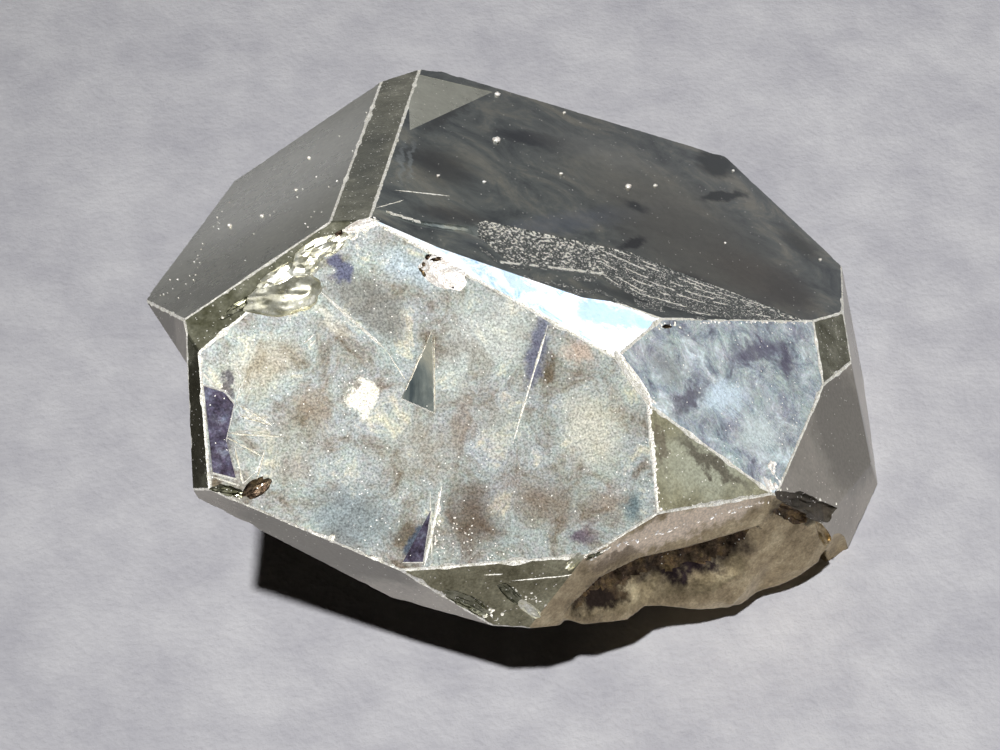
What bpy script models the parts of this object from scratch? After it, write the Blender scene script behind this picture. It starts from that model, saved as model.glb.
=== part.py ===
"""Pyrite crystal, one natural solid: a flattened cube-octahedron-pyritohedron combination.

The crystal rests on the rough face where it parted from its matrix.  Metres, +Z up,
front toward -Y; the origin is the middle of the bounding box, on the floor.
"""

import math
from dataclasses import dataclass

import bmesh
import bpy
from mathutils import Euler, Matrix, Vector, noise

MM = 0.001

# Driving dimensions.
CENTRE_HEIGHT = 4.70 * MM
BLANK_SIZE = 60.0 * MM

# Attitude of the crystal's three cube axes in the resting pose, in degrees.
CRYSTAL_ATTITUDE = Euler(tuple(math.radians(a) for a in (91.0, -57.5, 33.8)), "XYZ")

# The one re-entrant corner, under the left-hand tip: a point on its ridge, the way its
# open side looks, and the way its roof runs.
NOTCH_POINT = Vector((-7.3, -5.2, 7.9)) * MM
NOTCH_OUTWARD = Vector((-1.0, 0.05, -0.15))
NOTCH_ROOF_RUN = Vector((-1.0, 2.7, -1.1))

# How finely a rough ball is divided, and how uneven it is, for sharp chips and for
# the smooth swellings of the contact side.
CHIP_DETAIL = 3
CHIP_ROUGHNESS = 0.34
SMOOTH_DETAIL = 4
SMOOTH_ROUGHNESS = 0.10


@dataclass(frozen=True)
class Face:
    """A flat crystal face: its index on the cube axes and its distance from the centre."""

    name: str
    index: tuple
    distance: float


# The main forms are {111}, {100} and {210}, each a little off, as growth leaves them.
# Faces that meet at a shallow angle need the finest values.
FACES = (
    # The forms that face up and forward.
    Face("octahedron_front", (1.00, 1.00, 1.00), 4.50),
    Face("octahedron_left", (0.95, 1.00, -1.00), 4.95),
    Face("octahedron_lower", (-1.00, 0.70, 0.80), 8.28),
    Face("cube_top", (1.00, 0.02, -0.02), 1.93),
    Face("cube_left", (0.00, 1.00, 0.00), 9.25),
    Face("pyritohedron_right", (1.00, 0.02, 0.50), 3.38),
    Face("pyritohedron_lower", (0.00, 0.50, 1.00), 7.48),
    # Narrow faces on the edges between them.
    Face("bevel_bright", (1.00, 0.15, 0.20), 2.61),
    Face("bevel_top", (1.00, 0.45, -0.45), 3.85),
    Face("bevel_left", (0.90, 1.00, 0.10), 5.75),
    Face("trapezoid_right", (1.00, 0.35, 1.00), 4.76),
    Face("corner_right", (1.00, -0.12, 0.55), 4.13),
    Face("shoulder_right", (1.00, -0.24, 0.84), 5.13),
    Face("strip_lower", (0.05, 0.12, 1.00), 7.20),
    Face("tip_left", (-0.30, 1.00, -0.35), 8.95),
    Face("flank_left", (-0.35, 1.00, -0.35), 8.95),
    # The rough side where a neighbour grew against it.
    Face("contact_front", (-0.05, 0.10, 1.00), 7.33),
    Face("contact_right", (0.54, -0.40, 1.00), 7.42),
    # The far side, each face nearly parallel to one at the front.
    Face("back", (-0.05, -0.40, -1.00), 7.00),
    Face("back_left", (0.00, 0.00, -1.00), 7.00),
    Face("back_corner", (1.00, -1.00, -1.00), 8.70),
    Face("back_right", (0.05, -1.00, 0.05), 9.35),
    Face("side_right", (1.00, -0.80, 0.80), 6.88),
    Face("under_left", (-1.00, 0.10, -0.40), 4.60),
    Face("under_front", (-1.00, 0.10, -0.10), 5.07),
    Face("under_lip", (-1.00, -0.10, 0.35), 5.83),
)
FLOOR_FACE = "rest"
SPARE_BELOW = 1.00 * MM


@dataclass(frozen=True)
class Scoop:
    """A conchoidal chip: a squashed ball taken out where it dips under a face.

    at is the place, turn the angle of the long axis up from level, half_size the reach
    along, across and into the face, and lift the ball's height above it.  detail and
    roughness set how fine and how uneven the ball is.
    """

    name: str
    face: str
    at: tuple
    turn: float
    half_size: tuple
    lift: float = 0.0
    detail: int = CHIP_DETAIL
    roughness: float = CHIP_ROUGHNESS


SCOOPS = (
    Scoop("ridge_shell", "octahedron_front", (-5.2, -3.7, 8.9), 27.0, (0.86, 0.46, 0.40), 0.10),
    Scoop("ridge_flake", "bevel_left", (-4.9, -3.1, 9.1), 10.0, (0.60, 0.34, 0.26), 0.08),
    Scoop("ridge_nick", "bevel_left", (-4.1, -2.6, 9.4), 10.0, (0.34, 0.20, 0.16), 0.03),
    Scoop("pocket", "octahedron_front", (-1.7, -3.0, 8.6), 5.0, (0.40, 0.30, 0.20), 0.04),
    Scoop("corner_bite", "octahedron_front", (-6.1, -7.5, 6.3), -20.0, (0.62, 0.36, 0.30), 0.06),
    Scoop("lower_nick_left", "pyritohedron_lower", (-1.2, -8.4, 3.4), -25.0, (0.52, 0.30, 0.26), 0.06),
    Scoop("lower_nick_right", "pyritohedron_lower", (-0.1, -8.1, 3.4), 8.0, (0.62, 0.30, 0.24), 0.06),
    Scoop("edge_splinter", "octahedron_front", (1.3, -7.7, 4.4), 15.0, (0.34, 0.20, 0.18), 0.04),
    Scoop("joint_chip", "trapezoid_right", (5.4, -5.0, 3.8), 40.0, (0.44, 0.26, 0.22), 0.05),
    Scoop("shoulder_bite", "shoulder_right", (6.4, -4.6, 2.8), -15.0, (0.60, 0.36, 0.34), 0.08),
    Scoop("shoulder_nick", "contact_right", (7.0, -4.4, 1.9), 70.0, (0.36, 0.20, 0.20), 0.05),
    Scoop("bevel_nick", "pyritohedron_right", (3.1, -2.2, 6.1), 0.0, (0.20, 0.12, 0.10), 0.02),
    Scoop("corner_nick", "pyritohedron_right", (6.6, 0.1, 3.6), 0.0, (0.20, 0.12, 0.10), 0.02),
    Scoop("under_scoop", "under_front", (-4.2, -4.2, 3.0), 25.0, (1.60, 0.90, 0.40), 0.10),
    Scoop("back_scoop", "back", (2.4, 7.2, 2.0), 12.0, (1.50, 0.70, 0.40), 0.12),
)

# The contact side: one long hollow, and the notch in the rim below it.
CONTACT_SCOOPS = (
    Scoop(
        "hollow_long", "contact_front", (3.0, -6.7, 2.8), -3.0, (1.95, 0.60, 0.70),
        0.0, SMOOTH_DETAIL, SMOOTH_ROUGHNESS,
    ),
    Scoop(
        "hollow_deep", "contact_front", (2.2, -7.2, 2.7), 4.0, (0.85, 0.46, 0.95),
        0.0, SMOOTH_DETAIL, SMOOTH_ROUGHNESS,
    ),
    Scoop("rim_notch", "under_lip", (3.1, -6.4, 1.2), 0.0, (0.80, 0.70, 0.40), 0.05),
)


@dataclass(frozen=True)
class Lump:
    """A rounded swelling of the contact side, as a squashed ball joined to the body."""

    name: str
    centre: tuple
    half_size: tuple
    turn: float


LUMPS = (
    Lump("lump_left", (1.7, -7.0, 1.9), (0.92, 0.56, 0.46), 29.0),
    Lump("lump_middle", (4.2, -5.5, 0.9), (1.35, 0.80, 0.95), 29.0),
    Lump("lump_right", (5.8, -4.6, 1.3), (1.35, 0.72, 1.10), 29.0),
    Lump("crust", (-3.6, -5.5, 7.2), (0.34, 0.28, 0.09), 0.0),
)


@dataclass(frozen=True)
class Ledge:
    """A growth step: a thin slab taken off a face, on one side of a straight line."""

    name: str
    face: str
    at: tuple
    turn: float
    size: tuple
    depth: float


LEDGES = (
    Ledge("step_left_edge", "octahedron_front", (-6.1, -6.5, 7.2), 82.0, (2.00, 0.60), 0.060),
    Ledge("step_top_left", "octahedron_front", (-3.8, -4.1, 8.3), -56.0, (1.70, 0.50), 0.045),
    Ledge("step_bottom", "octahedron_front", (-1.9, -7.5, 5.4), 58.5, (2.00, 0.42), 0.050),
    Ledge("step_right", "octahedron_front", (0.1, -4.8, 6.8), 58.5, (2.70, 0.34), 0.040),
    Ledge("step_lower_face", "pyritohedron_lower", (0.3, -8.0, 4.0), 7.0, (1.70, 0.40), 0.050),
    Ledge("step_shield", "trapezoid_right", (3.6, -5.0, 5.0), -32.0, (1.50, 0.30), 0.045),
    Ledge("step_dark_band", "cube_top", (2.7, 0.2, 5.6), 66.0, (8.40, 0.48), 0.045),
    Ledge("step_back_low", "back", (0.5, 7.6, 0.8), 8.0, (6.00, 0.90), 0.120),
    Ledge("step_back_high", "back", (-2.4, 7.0, 2.2), 8.0, (3.20, 0.80), 0.180),
    Ledge("step_under_wide", "under_left", (-4.6, 1.6, 2.6), 35.0, (4.40, 1.70), 0.140),
    Ledge("step_under_small", "under_left", (-4.9, 2.2, 2.9), 35.0, (2.40, 0.90), 0.240),
    Ledge("step_under_front", "under_front", (-5.0, -3.6, 3.4), 25.0, (2.80, 0.80), 0.120),
)

# The flat it rests on stays whole round its rim; the middle parted unevenly.
BASE_HOLLOWS = (
    ((0.40, 1.60), 20.0, (2.60, 1.50, 0.42)),
    ((4.30, 3.40), 70.0, (1.70, 0.90, 0.34)),
    ((2.80, -1.90), -10.0, (1.90, 0.90, 0.36)),
    ((5.60, -0.40), 40.0, (1.20, 0.80, 0.26)),
    ((0.60, 5.10), 0.0, (1.30, 0.70, 0.30)),
)
BASE_HOLLOW_LIFT = 0.05

ROUGH_PITCH = 1.6
SLAB_THICKNESS = 0.60 * MM


def clear_scene():
    """Remove whatever objects the scene holds."""
    for item in list(bpy.data.objects):
        bpy.data.objects.remove(item, do_unlink=True)


def new_collection(name):
    """Make a collection under the scene's own."""
    made = bpy.data.collections.new(name)
    bpy.context.scene.collection.children.link(made)
    return made


def pyrite_material():
    """Polished iron sulphide, a pale brassy grey."""
    material = bpy.data.materials.new("pyrite")
    material.use_nodes = True
    shader = material.node_tree.nodes["Principled BSDF"]
    shader.inputs["Base Color"].default_value = (0.42, 0.40, 0.33, 1.0)
    shader.inputs["Metallic"].default_value = 1.0
    shader.inputs["Roughness"].default_value = 0.22
    return material


def face_plane(face):
    """The outward normal and a point of a crystal face, in the resting pose."""
    normal = CRYSTAL_ATTITUDE.to_matrix() @ Vector(face.index).normalized()
    centre = Vector((0.0, 0.0, CENTRE_HEIGHT))
    return normal, centre + normal * face.distance * MM


def planes_by_name():
    """Every face's plane, with the level face that it rests on."""
    planes = {face.name: face_plane(face) for face in FACES}
    planes[FLOOR_FACE] = (Vector((0.0, 0.0, -1.0)), Vector((0.0, 0.0, 0.0)))
    return planes


def spare_planes(planes):
    """The same planes with a little spare below the floor, for the last cut to take off."""
    spare = dict(planes)
    spare[FLOOR_FACE] = (planes[FLOOR_FACE][0], Vector((0.0, 0.0, -SPARE_BELOW)))
    return spare


def face_frame(plane, at, turn):
    """A frame where a face passes nearest to at: X level then turned, Y up slope, Z out."""
    normal, point = plane
    spot = Vector(at) * MM
    spot -= normal * normal.dot(spot - point)
    level = Vector((0.0, 0.0, 1.0)).cross(normal)
    if level.length < 1e-6:
        level = Vector((1.0, 0.0, 0.0))
    level.normalize()
    up_slope = normal.cross(level)
    axes = Matrix((level, up_slope, normal)).transposed().to_4x4()
    return Matrix.Translation(spot) @ axes @ Matrix.Rotation(math.radians(turn), 4, "Z")


def cut_blank(planes):
    """A cube cut down by every face plane in turn."""
    solid = bmesh.new()
    bmesh.ops.create_cube(solid, size=BLANK_SIZE)
    for normal, point in planes.values():
        everything = solid.verts[:] + solid.edges[:] + solid.faces[:]
        cut = bmesh.ops.bisect_plane(
            solid, geom=everything, dist=1e-8, plane_co=point, plane_no=normal, clear_outer=True
        )
        rim = [item for item in cut["geom_cut"] if isinstance(item, bmesh.types.BMEdge)]
        if rim:
            bmesh.ops.contextual_create(solid, geom=rim)
    bmesh.ops.recalc_face_normals(solid, faces=solid.faces[:])
    mesh = bpy.data.meshes.new("pyrite_crystal")
    solid.to_mesh(mesh)
    solid.free()
    return mesh


def add_tool(name, solid, frame, tools):
    """Put a cutter or a swelling in its own collection, kept out of the render."""
    solid.transform(frame)
    if frame.determinant() < 0.0:
        bmesh.ops.reverse_faces(solid, faces=solid.faces[:])
    mesh = bpy.data.meshes.new(name)
    solid.to_mesh(mesh)
    solid.free()
    tool = bpy.data.objects.new(name, mesh)
    tool.hide_render = True
    tool.display_type = "WIRE"
    tools.objects.link(tool)
    return tool


def rough_ball(name, frame, half_size, detail, roughness, tools):
    """An uneven ellipsoid with about the given half sizes in mm."""
    solid = bmesh.new()
    bmesh.ops.create_icosphere(solid, subdivisions=detail, radius=1.0)
    shift = frame.translation / MM
    for vert in solid.verts:
        broad = noise.noise(vert.co * ROUGH_PITCH + shift)
        fine = noise.noise(vert.co * ROUGH_PITCH * 2.0 - shift)
        vert.co *= 1.0 + roughness * (broad + 0.5 * fine)
    stretch = Matrix.Diagonal(Vector((*(h * MM for h in half_size), 1.0)))
    return add_tool(name, solid, frame @ stretch, tools)


def scoop_cutter(scoop, planes, tools):
    """The rough ball that takes out one scoop."""
    frame = face_frame(planes[scoop.face], scoop.at, scoop.turn)
    frame = frame @ Matrix.Translation(Vector((0.0, 0.0, scoop.lift * MM)))
    return rough_ball(scoop.name, frame, scoop.half_size, scoop.detail, scoop.roughness, tools)


def slab(name, frame, size, depth, tools):
    """A plate whose underside lies a little under the face, and whose edge is at Y = 0."""
    solid = bmesh.new()
    bmesh.ops.create_cube(solid, size=1.0)
    width, reach = size[0] * MM, size[1] * MM
    stretch = Matrix.Diagonal(Vector((width, reach, SLAB_THICKNESS, 1.0)))
    place = Matrix.Translation(Vector((0.0, reach / 2.0, SLAB_THICKNESS / 2.0 - depth * MM)))
    return add_tool(name, solid, frame @ place @ stretch, tools)


def notch_cutter(tools):
    """The re-entrant corner under the left-hand tip: a block laid against two planes."""
    outward = NOTCH_OUTWARD.normalized()
    run = (NOTCH_ROOF_RUN - outward * NOTCH_ROOF_RUN.dot(outward)).normalized()
    down = outward.cross(run)
    if down.z > 0.0:
        down.negate()
    reach = 12.0 * MM
    solid = bmesh.new()
    bmesh.ops.create_cube(solid, size=reach)
    middle = NOTCH_POINT + (outward + down) * reach / 2.0
    frame = Matrix((outward, run, down)).transposed().to_4x4()
    return add_tool("tip_notch", solid, Matrix.Translation(middle) @ frame, tools)


def floor_cutter(tools):
    """The block whose top is the floor, so that the crystal stands on one true level."""
    solid = bmesh.new()
    bmesh.ops.create_cube(solid, size=BLANK_SIZE)
    return add_tool("floor_cut", solid, Matrix.Translation(Vector((0.0, 0.0, -BLANK_SIZE / 2.0))), tools)


def join_or_cut(body, tool, operation):
    """Add one exact Boolean to the body."""
    step = body.modifiers.new(tool.name, "BOOLEAN")
    step.object = tool
    step.operation = operation
    step.solver = "EXACT"


def build():
    """Make the crystal and every tool that shapes it."""
    clear_scene()
    home = new_collection("pyrite_crystal")
    tools = new_collection("cutters")
    planes = planes_by_name()

    body = bpy.data.objects.new("pyrite_crystal", cut_blank(spare_planes(planes)))
    body.data.materials.append(pyrite_material())
    home.objects.link(body)

    join_or_cut(body, notch_cutter(tools), "DIFFERENCE")
    for ledge in LEDGES:
        frame = face_frame(planes[ledge.face], ledge.at, ledge.turn)
        tool = slab(ledge.name, frame, ledge.size, ledge.depth, tools)
        join_or_cut(body, tool, "DIFFERENCE")
    for scoop in SCOOPS:
        join_or_cut(body, scoop_cutter(scoop, planes, tools), "DIFFERENCE")
    for lump in LUMPS:
        frame = Matrix.Translation(Vector(lump.centre) * MM)
        frame = frame @ Matrix.Rotation(math.radians(lump.turn), 4, "Z")
        tool = rough_ball(lump.name, frame, lump.half_size, SMOOTH_DETAIL, SMOOTH_ROUGHNESS, tools)
        join_or_cut(body, tool, "UNION")
    for scoop in CONTACT_SCOOPS:
        join_or_cut(body, scoop_cutter(scoop, planes, tools), "DIFFERENCE")
    join_or_cut(body, floor_cutter(tools), "DIFFERENCE")
    for number, (at, turn, half_size) in enumerate(BASE_HOLLOWS, start=1):
        hollow = Scoop(f"base_hollow_{number}", FLOOR_FACE, (*at, 0.0), turn, half_size, BASE_HOLLOW_LIFT)
        join_or_cut(body, scoop_cutter(hollow, planes, tools), "DIFFERENCE")
    return body


build()
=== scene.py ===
"""A single pyrite crystal lying on pale grey paper.

The crystal grew as one piece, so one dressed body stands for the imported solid.  Its flat
faces are read back from that solid, cut again from a blank and given worn edges, and
then stepped, chipped and pitted.  The frame is in metres with +Z up.  The body is shaped
in millimetres and brought to metres in its mesh.  Places on the faces that show are
given as the front camera sees them, in a view 1000 wide and 750 high.
"""

import logging
import math
import random
from collections.abc import Callable
from dataclasses import dataclass, field
from enum import Enum

import bmesh
import bpy
from mathutils import Matrix, Vector, noise


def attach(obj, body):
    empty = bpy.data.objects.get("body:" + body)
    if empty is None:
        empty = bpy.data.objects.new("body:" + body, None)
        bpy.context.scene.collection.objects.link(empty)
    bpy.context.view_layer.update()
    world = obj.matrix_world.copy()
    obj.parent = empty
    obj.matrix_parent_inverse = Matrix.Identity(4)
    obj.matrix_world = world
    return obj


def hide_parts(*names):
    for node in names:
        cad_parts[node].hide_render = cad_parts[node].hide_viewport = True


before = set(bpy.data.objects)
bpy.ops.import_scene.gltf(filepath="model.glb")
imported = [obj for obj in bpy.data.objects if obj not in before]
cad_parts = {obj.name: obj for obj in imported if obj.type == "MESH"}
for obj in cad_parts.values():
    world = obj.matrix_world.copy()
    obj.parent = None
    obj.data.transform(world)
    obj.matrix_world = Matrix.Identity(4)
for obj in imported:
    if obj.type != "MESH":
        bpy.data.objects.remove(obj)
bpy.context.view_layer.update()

MM = 0.001
NODE = "pyrite_crystal"
BODY = "root"

log = logging.getLogger("pyrite")

Spot = tuple[float, float]
Triple = tuple[float, float, float]
Tree = bpy.types.NodeTree
Socket = bpy.types.NodeSocket

# A noise texture's values lie nearly all in this span.
NOISE_SPAN = (0.3, 0.7)


# ---------------------------------------------------------------- small helpers


def linear(hex_colour: str) -> tuple[float, float, float, float]:
    """Turn an sRGB hex colour to linear.

    Args:
        hex_colour: Six hex digits, such as "C8B98A".

    Returns:
        Linear red, green and blue, with an alpha of one.
    """
    channels = []
    for start in (0, 2, 4):
        value = int(hex_colour[start : start + 2], 16) / 255.0
        channels.append(value / 12.92 if value <= 0.04045 else ((value + 0.055) / 1.055) ** 2.4)
    return (*channels, 1.0)


def add_node(
    tree: Tree, kind: str, inputs: dict | None = None, **settings: str
) -> bpy.types.Node:
    """Add a shader node with its settings and links.

    Args:
        tree: The node tree it goes into.
        kind: The node's type name, without the word ShaderNode.
        inputs: Values or output sockets by input name or number.
        settings: The node's own properties.

    Returns:
        The new node.
    """
    node = tree.nodes.new(f"ShaderNode{kind}")
    for name, value in settings.items():
        setattr(node, name, value)
    for key, value in (inputs or {}).items():
        if isinstance(value, Socket):
            tree.links.new(value, node.inputs[key])
        else:
            node.inputs[key].default_value = value
    return node


def add_noise(
    tree: Tree, place: Socket, width_mm: float, detail: float, **inputs: float
) -> bpy.types.Node:
    """Add a noise texture.

    Args:
        tree: The node tree it goes into.
        place: The coordinates it is laid out in, in metres.
        width_mm: The width of its blotches, in millimetres.
        detail: How many finer layers it has.
        inputs: Its other inputs, by name.

    Returns:
        The new node.
    """
    values = {"Vector": place, "Scale": 1.0 / (width_mm * MM), "Detail": detail, **inputs}
    return add_node(tree, "TexNoise", values)


def add_range(
    tree: Tree, value: Socket, start: tuple[float, float], stop: tuple[float, float], curve: str = "LINEAR"
) -> Socket:
    """Stretch a value from one range to another.

    Args:
        tree: The node tree it goes into.
        value: What is stretched.
        start: The range that it comes from.
        stop: The range that it goes to, and is held in.
        curve: How it runs between the ends.

    Returns:
        The stretched value.
    """
    values = {"Value": value, "From Min": start[0], "From Max": start[1]}
    values |= {"To Min": stop[0], "To Max": stop[1]}
    return add_node(tree, "MapRange", values, interpolation_type=curve).outputs["Result"]


def add_mix(
    tree: Tree, share: float | Socket, under: Socket, over: Socket | tuple, blend: str = "MIX"
) -> Socket:
    """Lay one colour over another.

    Args:
        tree: The node tree it goes into.
        share: How far the upper colour covers, from 0 to 1.
        under: The lower colour.
        over: The upper colour.
        blend: How the two are put together.

    Returns:
        The mixed colour.
    """
    values = {"Fac": share, "Color1": under, "Color2": over}
    return add_node(tree, "MixRGB", values, blend_type=blend).outputs["Color"]


def smooth_step(low: float, high: float, value: float) -> float:
    """Rise from 0 to 1 as value goes from low to high."""
    t = min(max((value - low) / (high - low), 0.0), 1.0)
    return t * t * (3.0 - 2.0 * t)


def along(points: tuple[Spot, ...], x: float) -> float:
    """Read a height off a broken line.

    Args:
        points: Corners of the line, in rising order of their first value.
        x: Where to read.

    Returns:
        The second value there, held level past the ends.
    """
    if x <= points[0][0]:
        return points[0][1]
    for (x0, y0), (x1, y1) in zip(points, points[1:]):
        if x <= x1:
            return y0 + (y1 - y0) * (x - x0) / (x1 - x0)
    return points[-1][1]


def deselect_all() -> None:
    """Leave edit mode and select nothing."""
    if bpy.context.object is not None and bpy.context.object.mode != "OBJECT":
        bpy.ops.object.mode_set(mode="OBJECT")
    bpy.ops.object.select_all(action="DESELECT")


def make_active(item: bpy.types.Object) -> None:
    """Select one object and make it the active one.

    Args:
        item: The object.
    """
    deselect_all()
    item.select_set(True)
    bpy.context.view_layer.objects.active = item


# ------------------------------------------------------------------ the studio


def stand_lamp(data: bpy.types.Light, place: Vector, way: Vector) -> bpy.types.Object:
    """Put a light in the scene.

    Args:
        data: The light.
        place: Where it stands, in metres.
        way: The direction from what it lights to where it stands.

    Returns:
        The light's object.
    """
    lamp = bpy.data.objects.new(data.name, data)
    lamp.location = place
    lamp.rotation_mode = "QUATERNION"
    lamp.rotation_quaternion = way.to_track_quat("Z", "Y")
    bpy.context.scene.collection.objects.link(lamp)
    return lamp


@dataclass(frozen=True)
class Panel:
    """A soft panel that only shows in reflections, so that it does not lift the shadow.

    Attributes:
        name: What the panel is called.
        toward: The direction from the crystal to the panel.
        spread_deg: How wide and high it looks from the crystal.
        radiance: How bright it looks.
        colour: Its colour.
        distance_mm: How far off it stands.
    """

    name: str
    toward: Triple
    spread_deg: tuple[float, float]
    radiance: float
    colour: str = "FFFFFF"
    distance_mm: float = 300.0

    def build(self, middle: Vector) -> bpy.types.Object:
        """Make the panel.

        Args:
            middle: The point that it faces, in metres.

        Returns:
            The panel's light.
        """
        reach = self.distance_mm * MM
        width, height = (2.0 * reach * math.tan(math.radians(a) / 2.0) for a in self.spread_deg)
        data = bpy.data.lights.new(self.name, "AREA")
        data.shape = "RECTANGLE"
        data.size, data.size_y = width, height
        data.energy = 4.0 * width * height * self.radiance
        data.color = linear(self.colour)[:3]
        away = Vector(self.toward).normalized()
        lamp = stand_lamp(data, middle + away * reach, away)
        lamp.visible_diffuse = False
        return lamp


@dataclass(frozen=True)
class KeyLamp:
    """The one lamp that lights the paper: small and far off, so that shadows are crisp.

    Attributes:
        toward: The direction from the crystal to the lamp.
        distance_mm: How far off it stands.
        across_deg: How wide it looks from the crystal.
        cone_deg: The full angle of its cone.
        falloff: How softly the cone ends, from 0 to 1.
        irradiance: How strongly it lights the paper.
        brightest_mm: Where the cone's middle falls, from the crystal's middle.
    """

    toward: Triple = (-0.15, -0.40, 1.0)
    distance_mm: float = 300.0
    across_deg: float = 2.6
    cone_deg: float = 22.0
    falloff: float = 1.0
    irradiance: float = 3.4
    brightest_mm: Triple = (12.0, -4.0, 0.0)

    def build(self, middle: Vector) -> bpy.types.Object:
        """Make the lamp.

        Args:
            middle: The crystal's middle, in metres.

        Returns:
            The lamp.
        """
        reach = self.distance_mm * MM
        data = bpy.data.lights.new("key", "SPOT")
        data.shadow_soft_size = reach * math.tan(math.radians(self.across_deg) / 2.0)
        data.spot_size = math.radians(self.cone_deg)
        data.spot_blend = self.falloff
        data.energy = self.irradiance * 4.0 * math.pi * reach * reach
        place = middle + Vector(self.toward).normalized() * reach
        brightest = middle + Vector(self.brightest_mm) * MM
        return stand_lamp(data, place, place - brightest)


@dataclass(frozen=True)
class FrontCamera:
    """The camera in front of and above the crystal, and the rays through its view.

    Attributes:
        place_mm: Where it stands.
        tilt_deg: How far it is tilted up from looking straight down.
        focal_px: Its focal length, in the view's pixels.
        width_px: The view's width.
        height_px: The view's height.
        sensor_mm: The sensor's width.
    """

    place_mm: Triple = (-0.6, -49.7, 55.3)
    tilt_deg: float = 43.0
    focal_px: float = 3041.0
    width_px: float = 1000.0
    height_px: float = 750.0
    sensor_mm: float = 36.0

    def build(self) -> bpy.types.Object:
        """Make the camera and use it for the scene."""
        data = bpy.data.cameras.new("front_camera")
        data.sensor_width = self.sensor_mm
        data.lens = self.sensor_mm * self.focal_px / self.width_px
        data.clip_start = MM
        camera = bpy.data.objects.new("front_camera", data)
        camera.location = Vector(self.place_mm) * MM
        camera.rotation_euler = (math.radians(self.tilt_deg), 0.0, 0.0)
        bpy.context.scene.collection.objects.link(camera)
        bpy.context.scene.camera = camera
        return camera

    def axes(self) -> tuple[Vector, Vector, Vector]:
        """The camera's right, up and forward directions."""
        tilt = math.radians(self.tilt_deg)
        up = Vector((0.0, math.cos(tilt), math.sin(tilt)))
        forward = Vector((0.0, math.sin(tilt), -math.cos(tilt)))
        return Vector((1.0, 0.0, 0.0)), up, forward

    def on_plane(self, spot: Spot, plane: "Plane") -> Vector:
        """Find where the ray through a spot of the view meets a plane.

        Args:
            spot: The spot, in the view's pixels.
            plane: The plane.

        Returns:
            The meeting point, in millimetres.
        """
        right, up, forward = self.axes()
        ray = forward + right * ((spot[0] - self.width_px / 2.0) / self.focal_px)
        ray += up * ((self.height_px / 2.0 - spot[1]) / self.focal_px)
        start = Vector(self.place_mm)
        return start + ray * (plane.normal.dot(plane.point - start) / plane.normal.dot(ray))

    def seen_at(self, point: Vector) -> Spot:
        """Find where a point falls in the view.

        Args:
            point: The point, in millimetres.

        Returns:
            The spot, in the view's pixels.
        """
        right, up, forward = self.axes()
        way = point - Vector(self.place_mm)
        scale = self.focal_px / forward.dot(way)
        across, down = scale * right.dot(way), -scale * up.dot(way)
        return (self.width_px / 2.0 + across, self.height_px / 2.0 + down)


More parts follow.
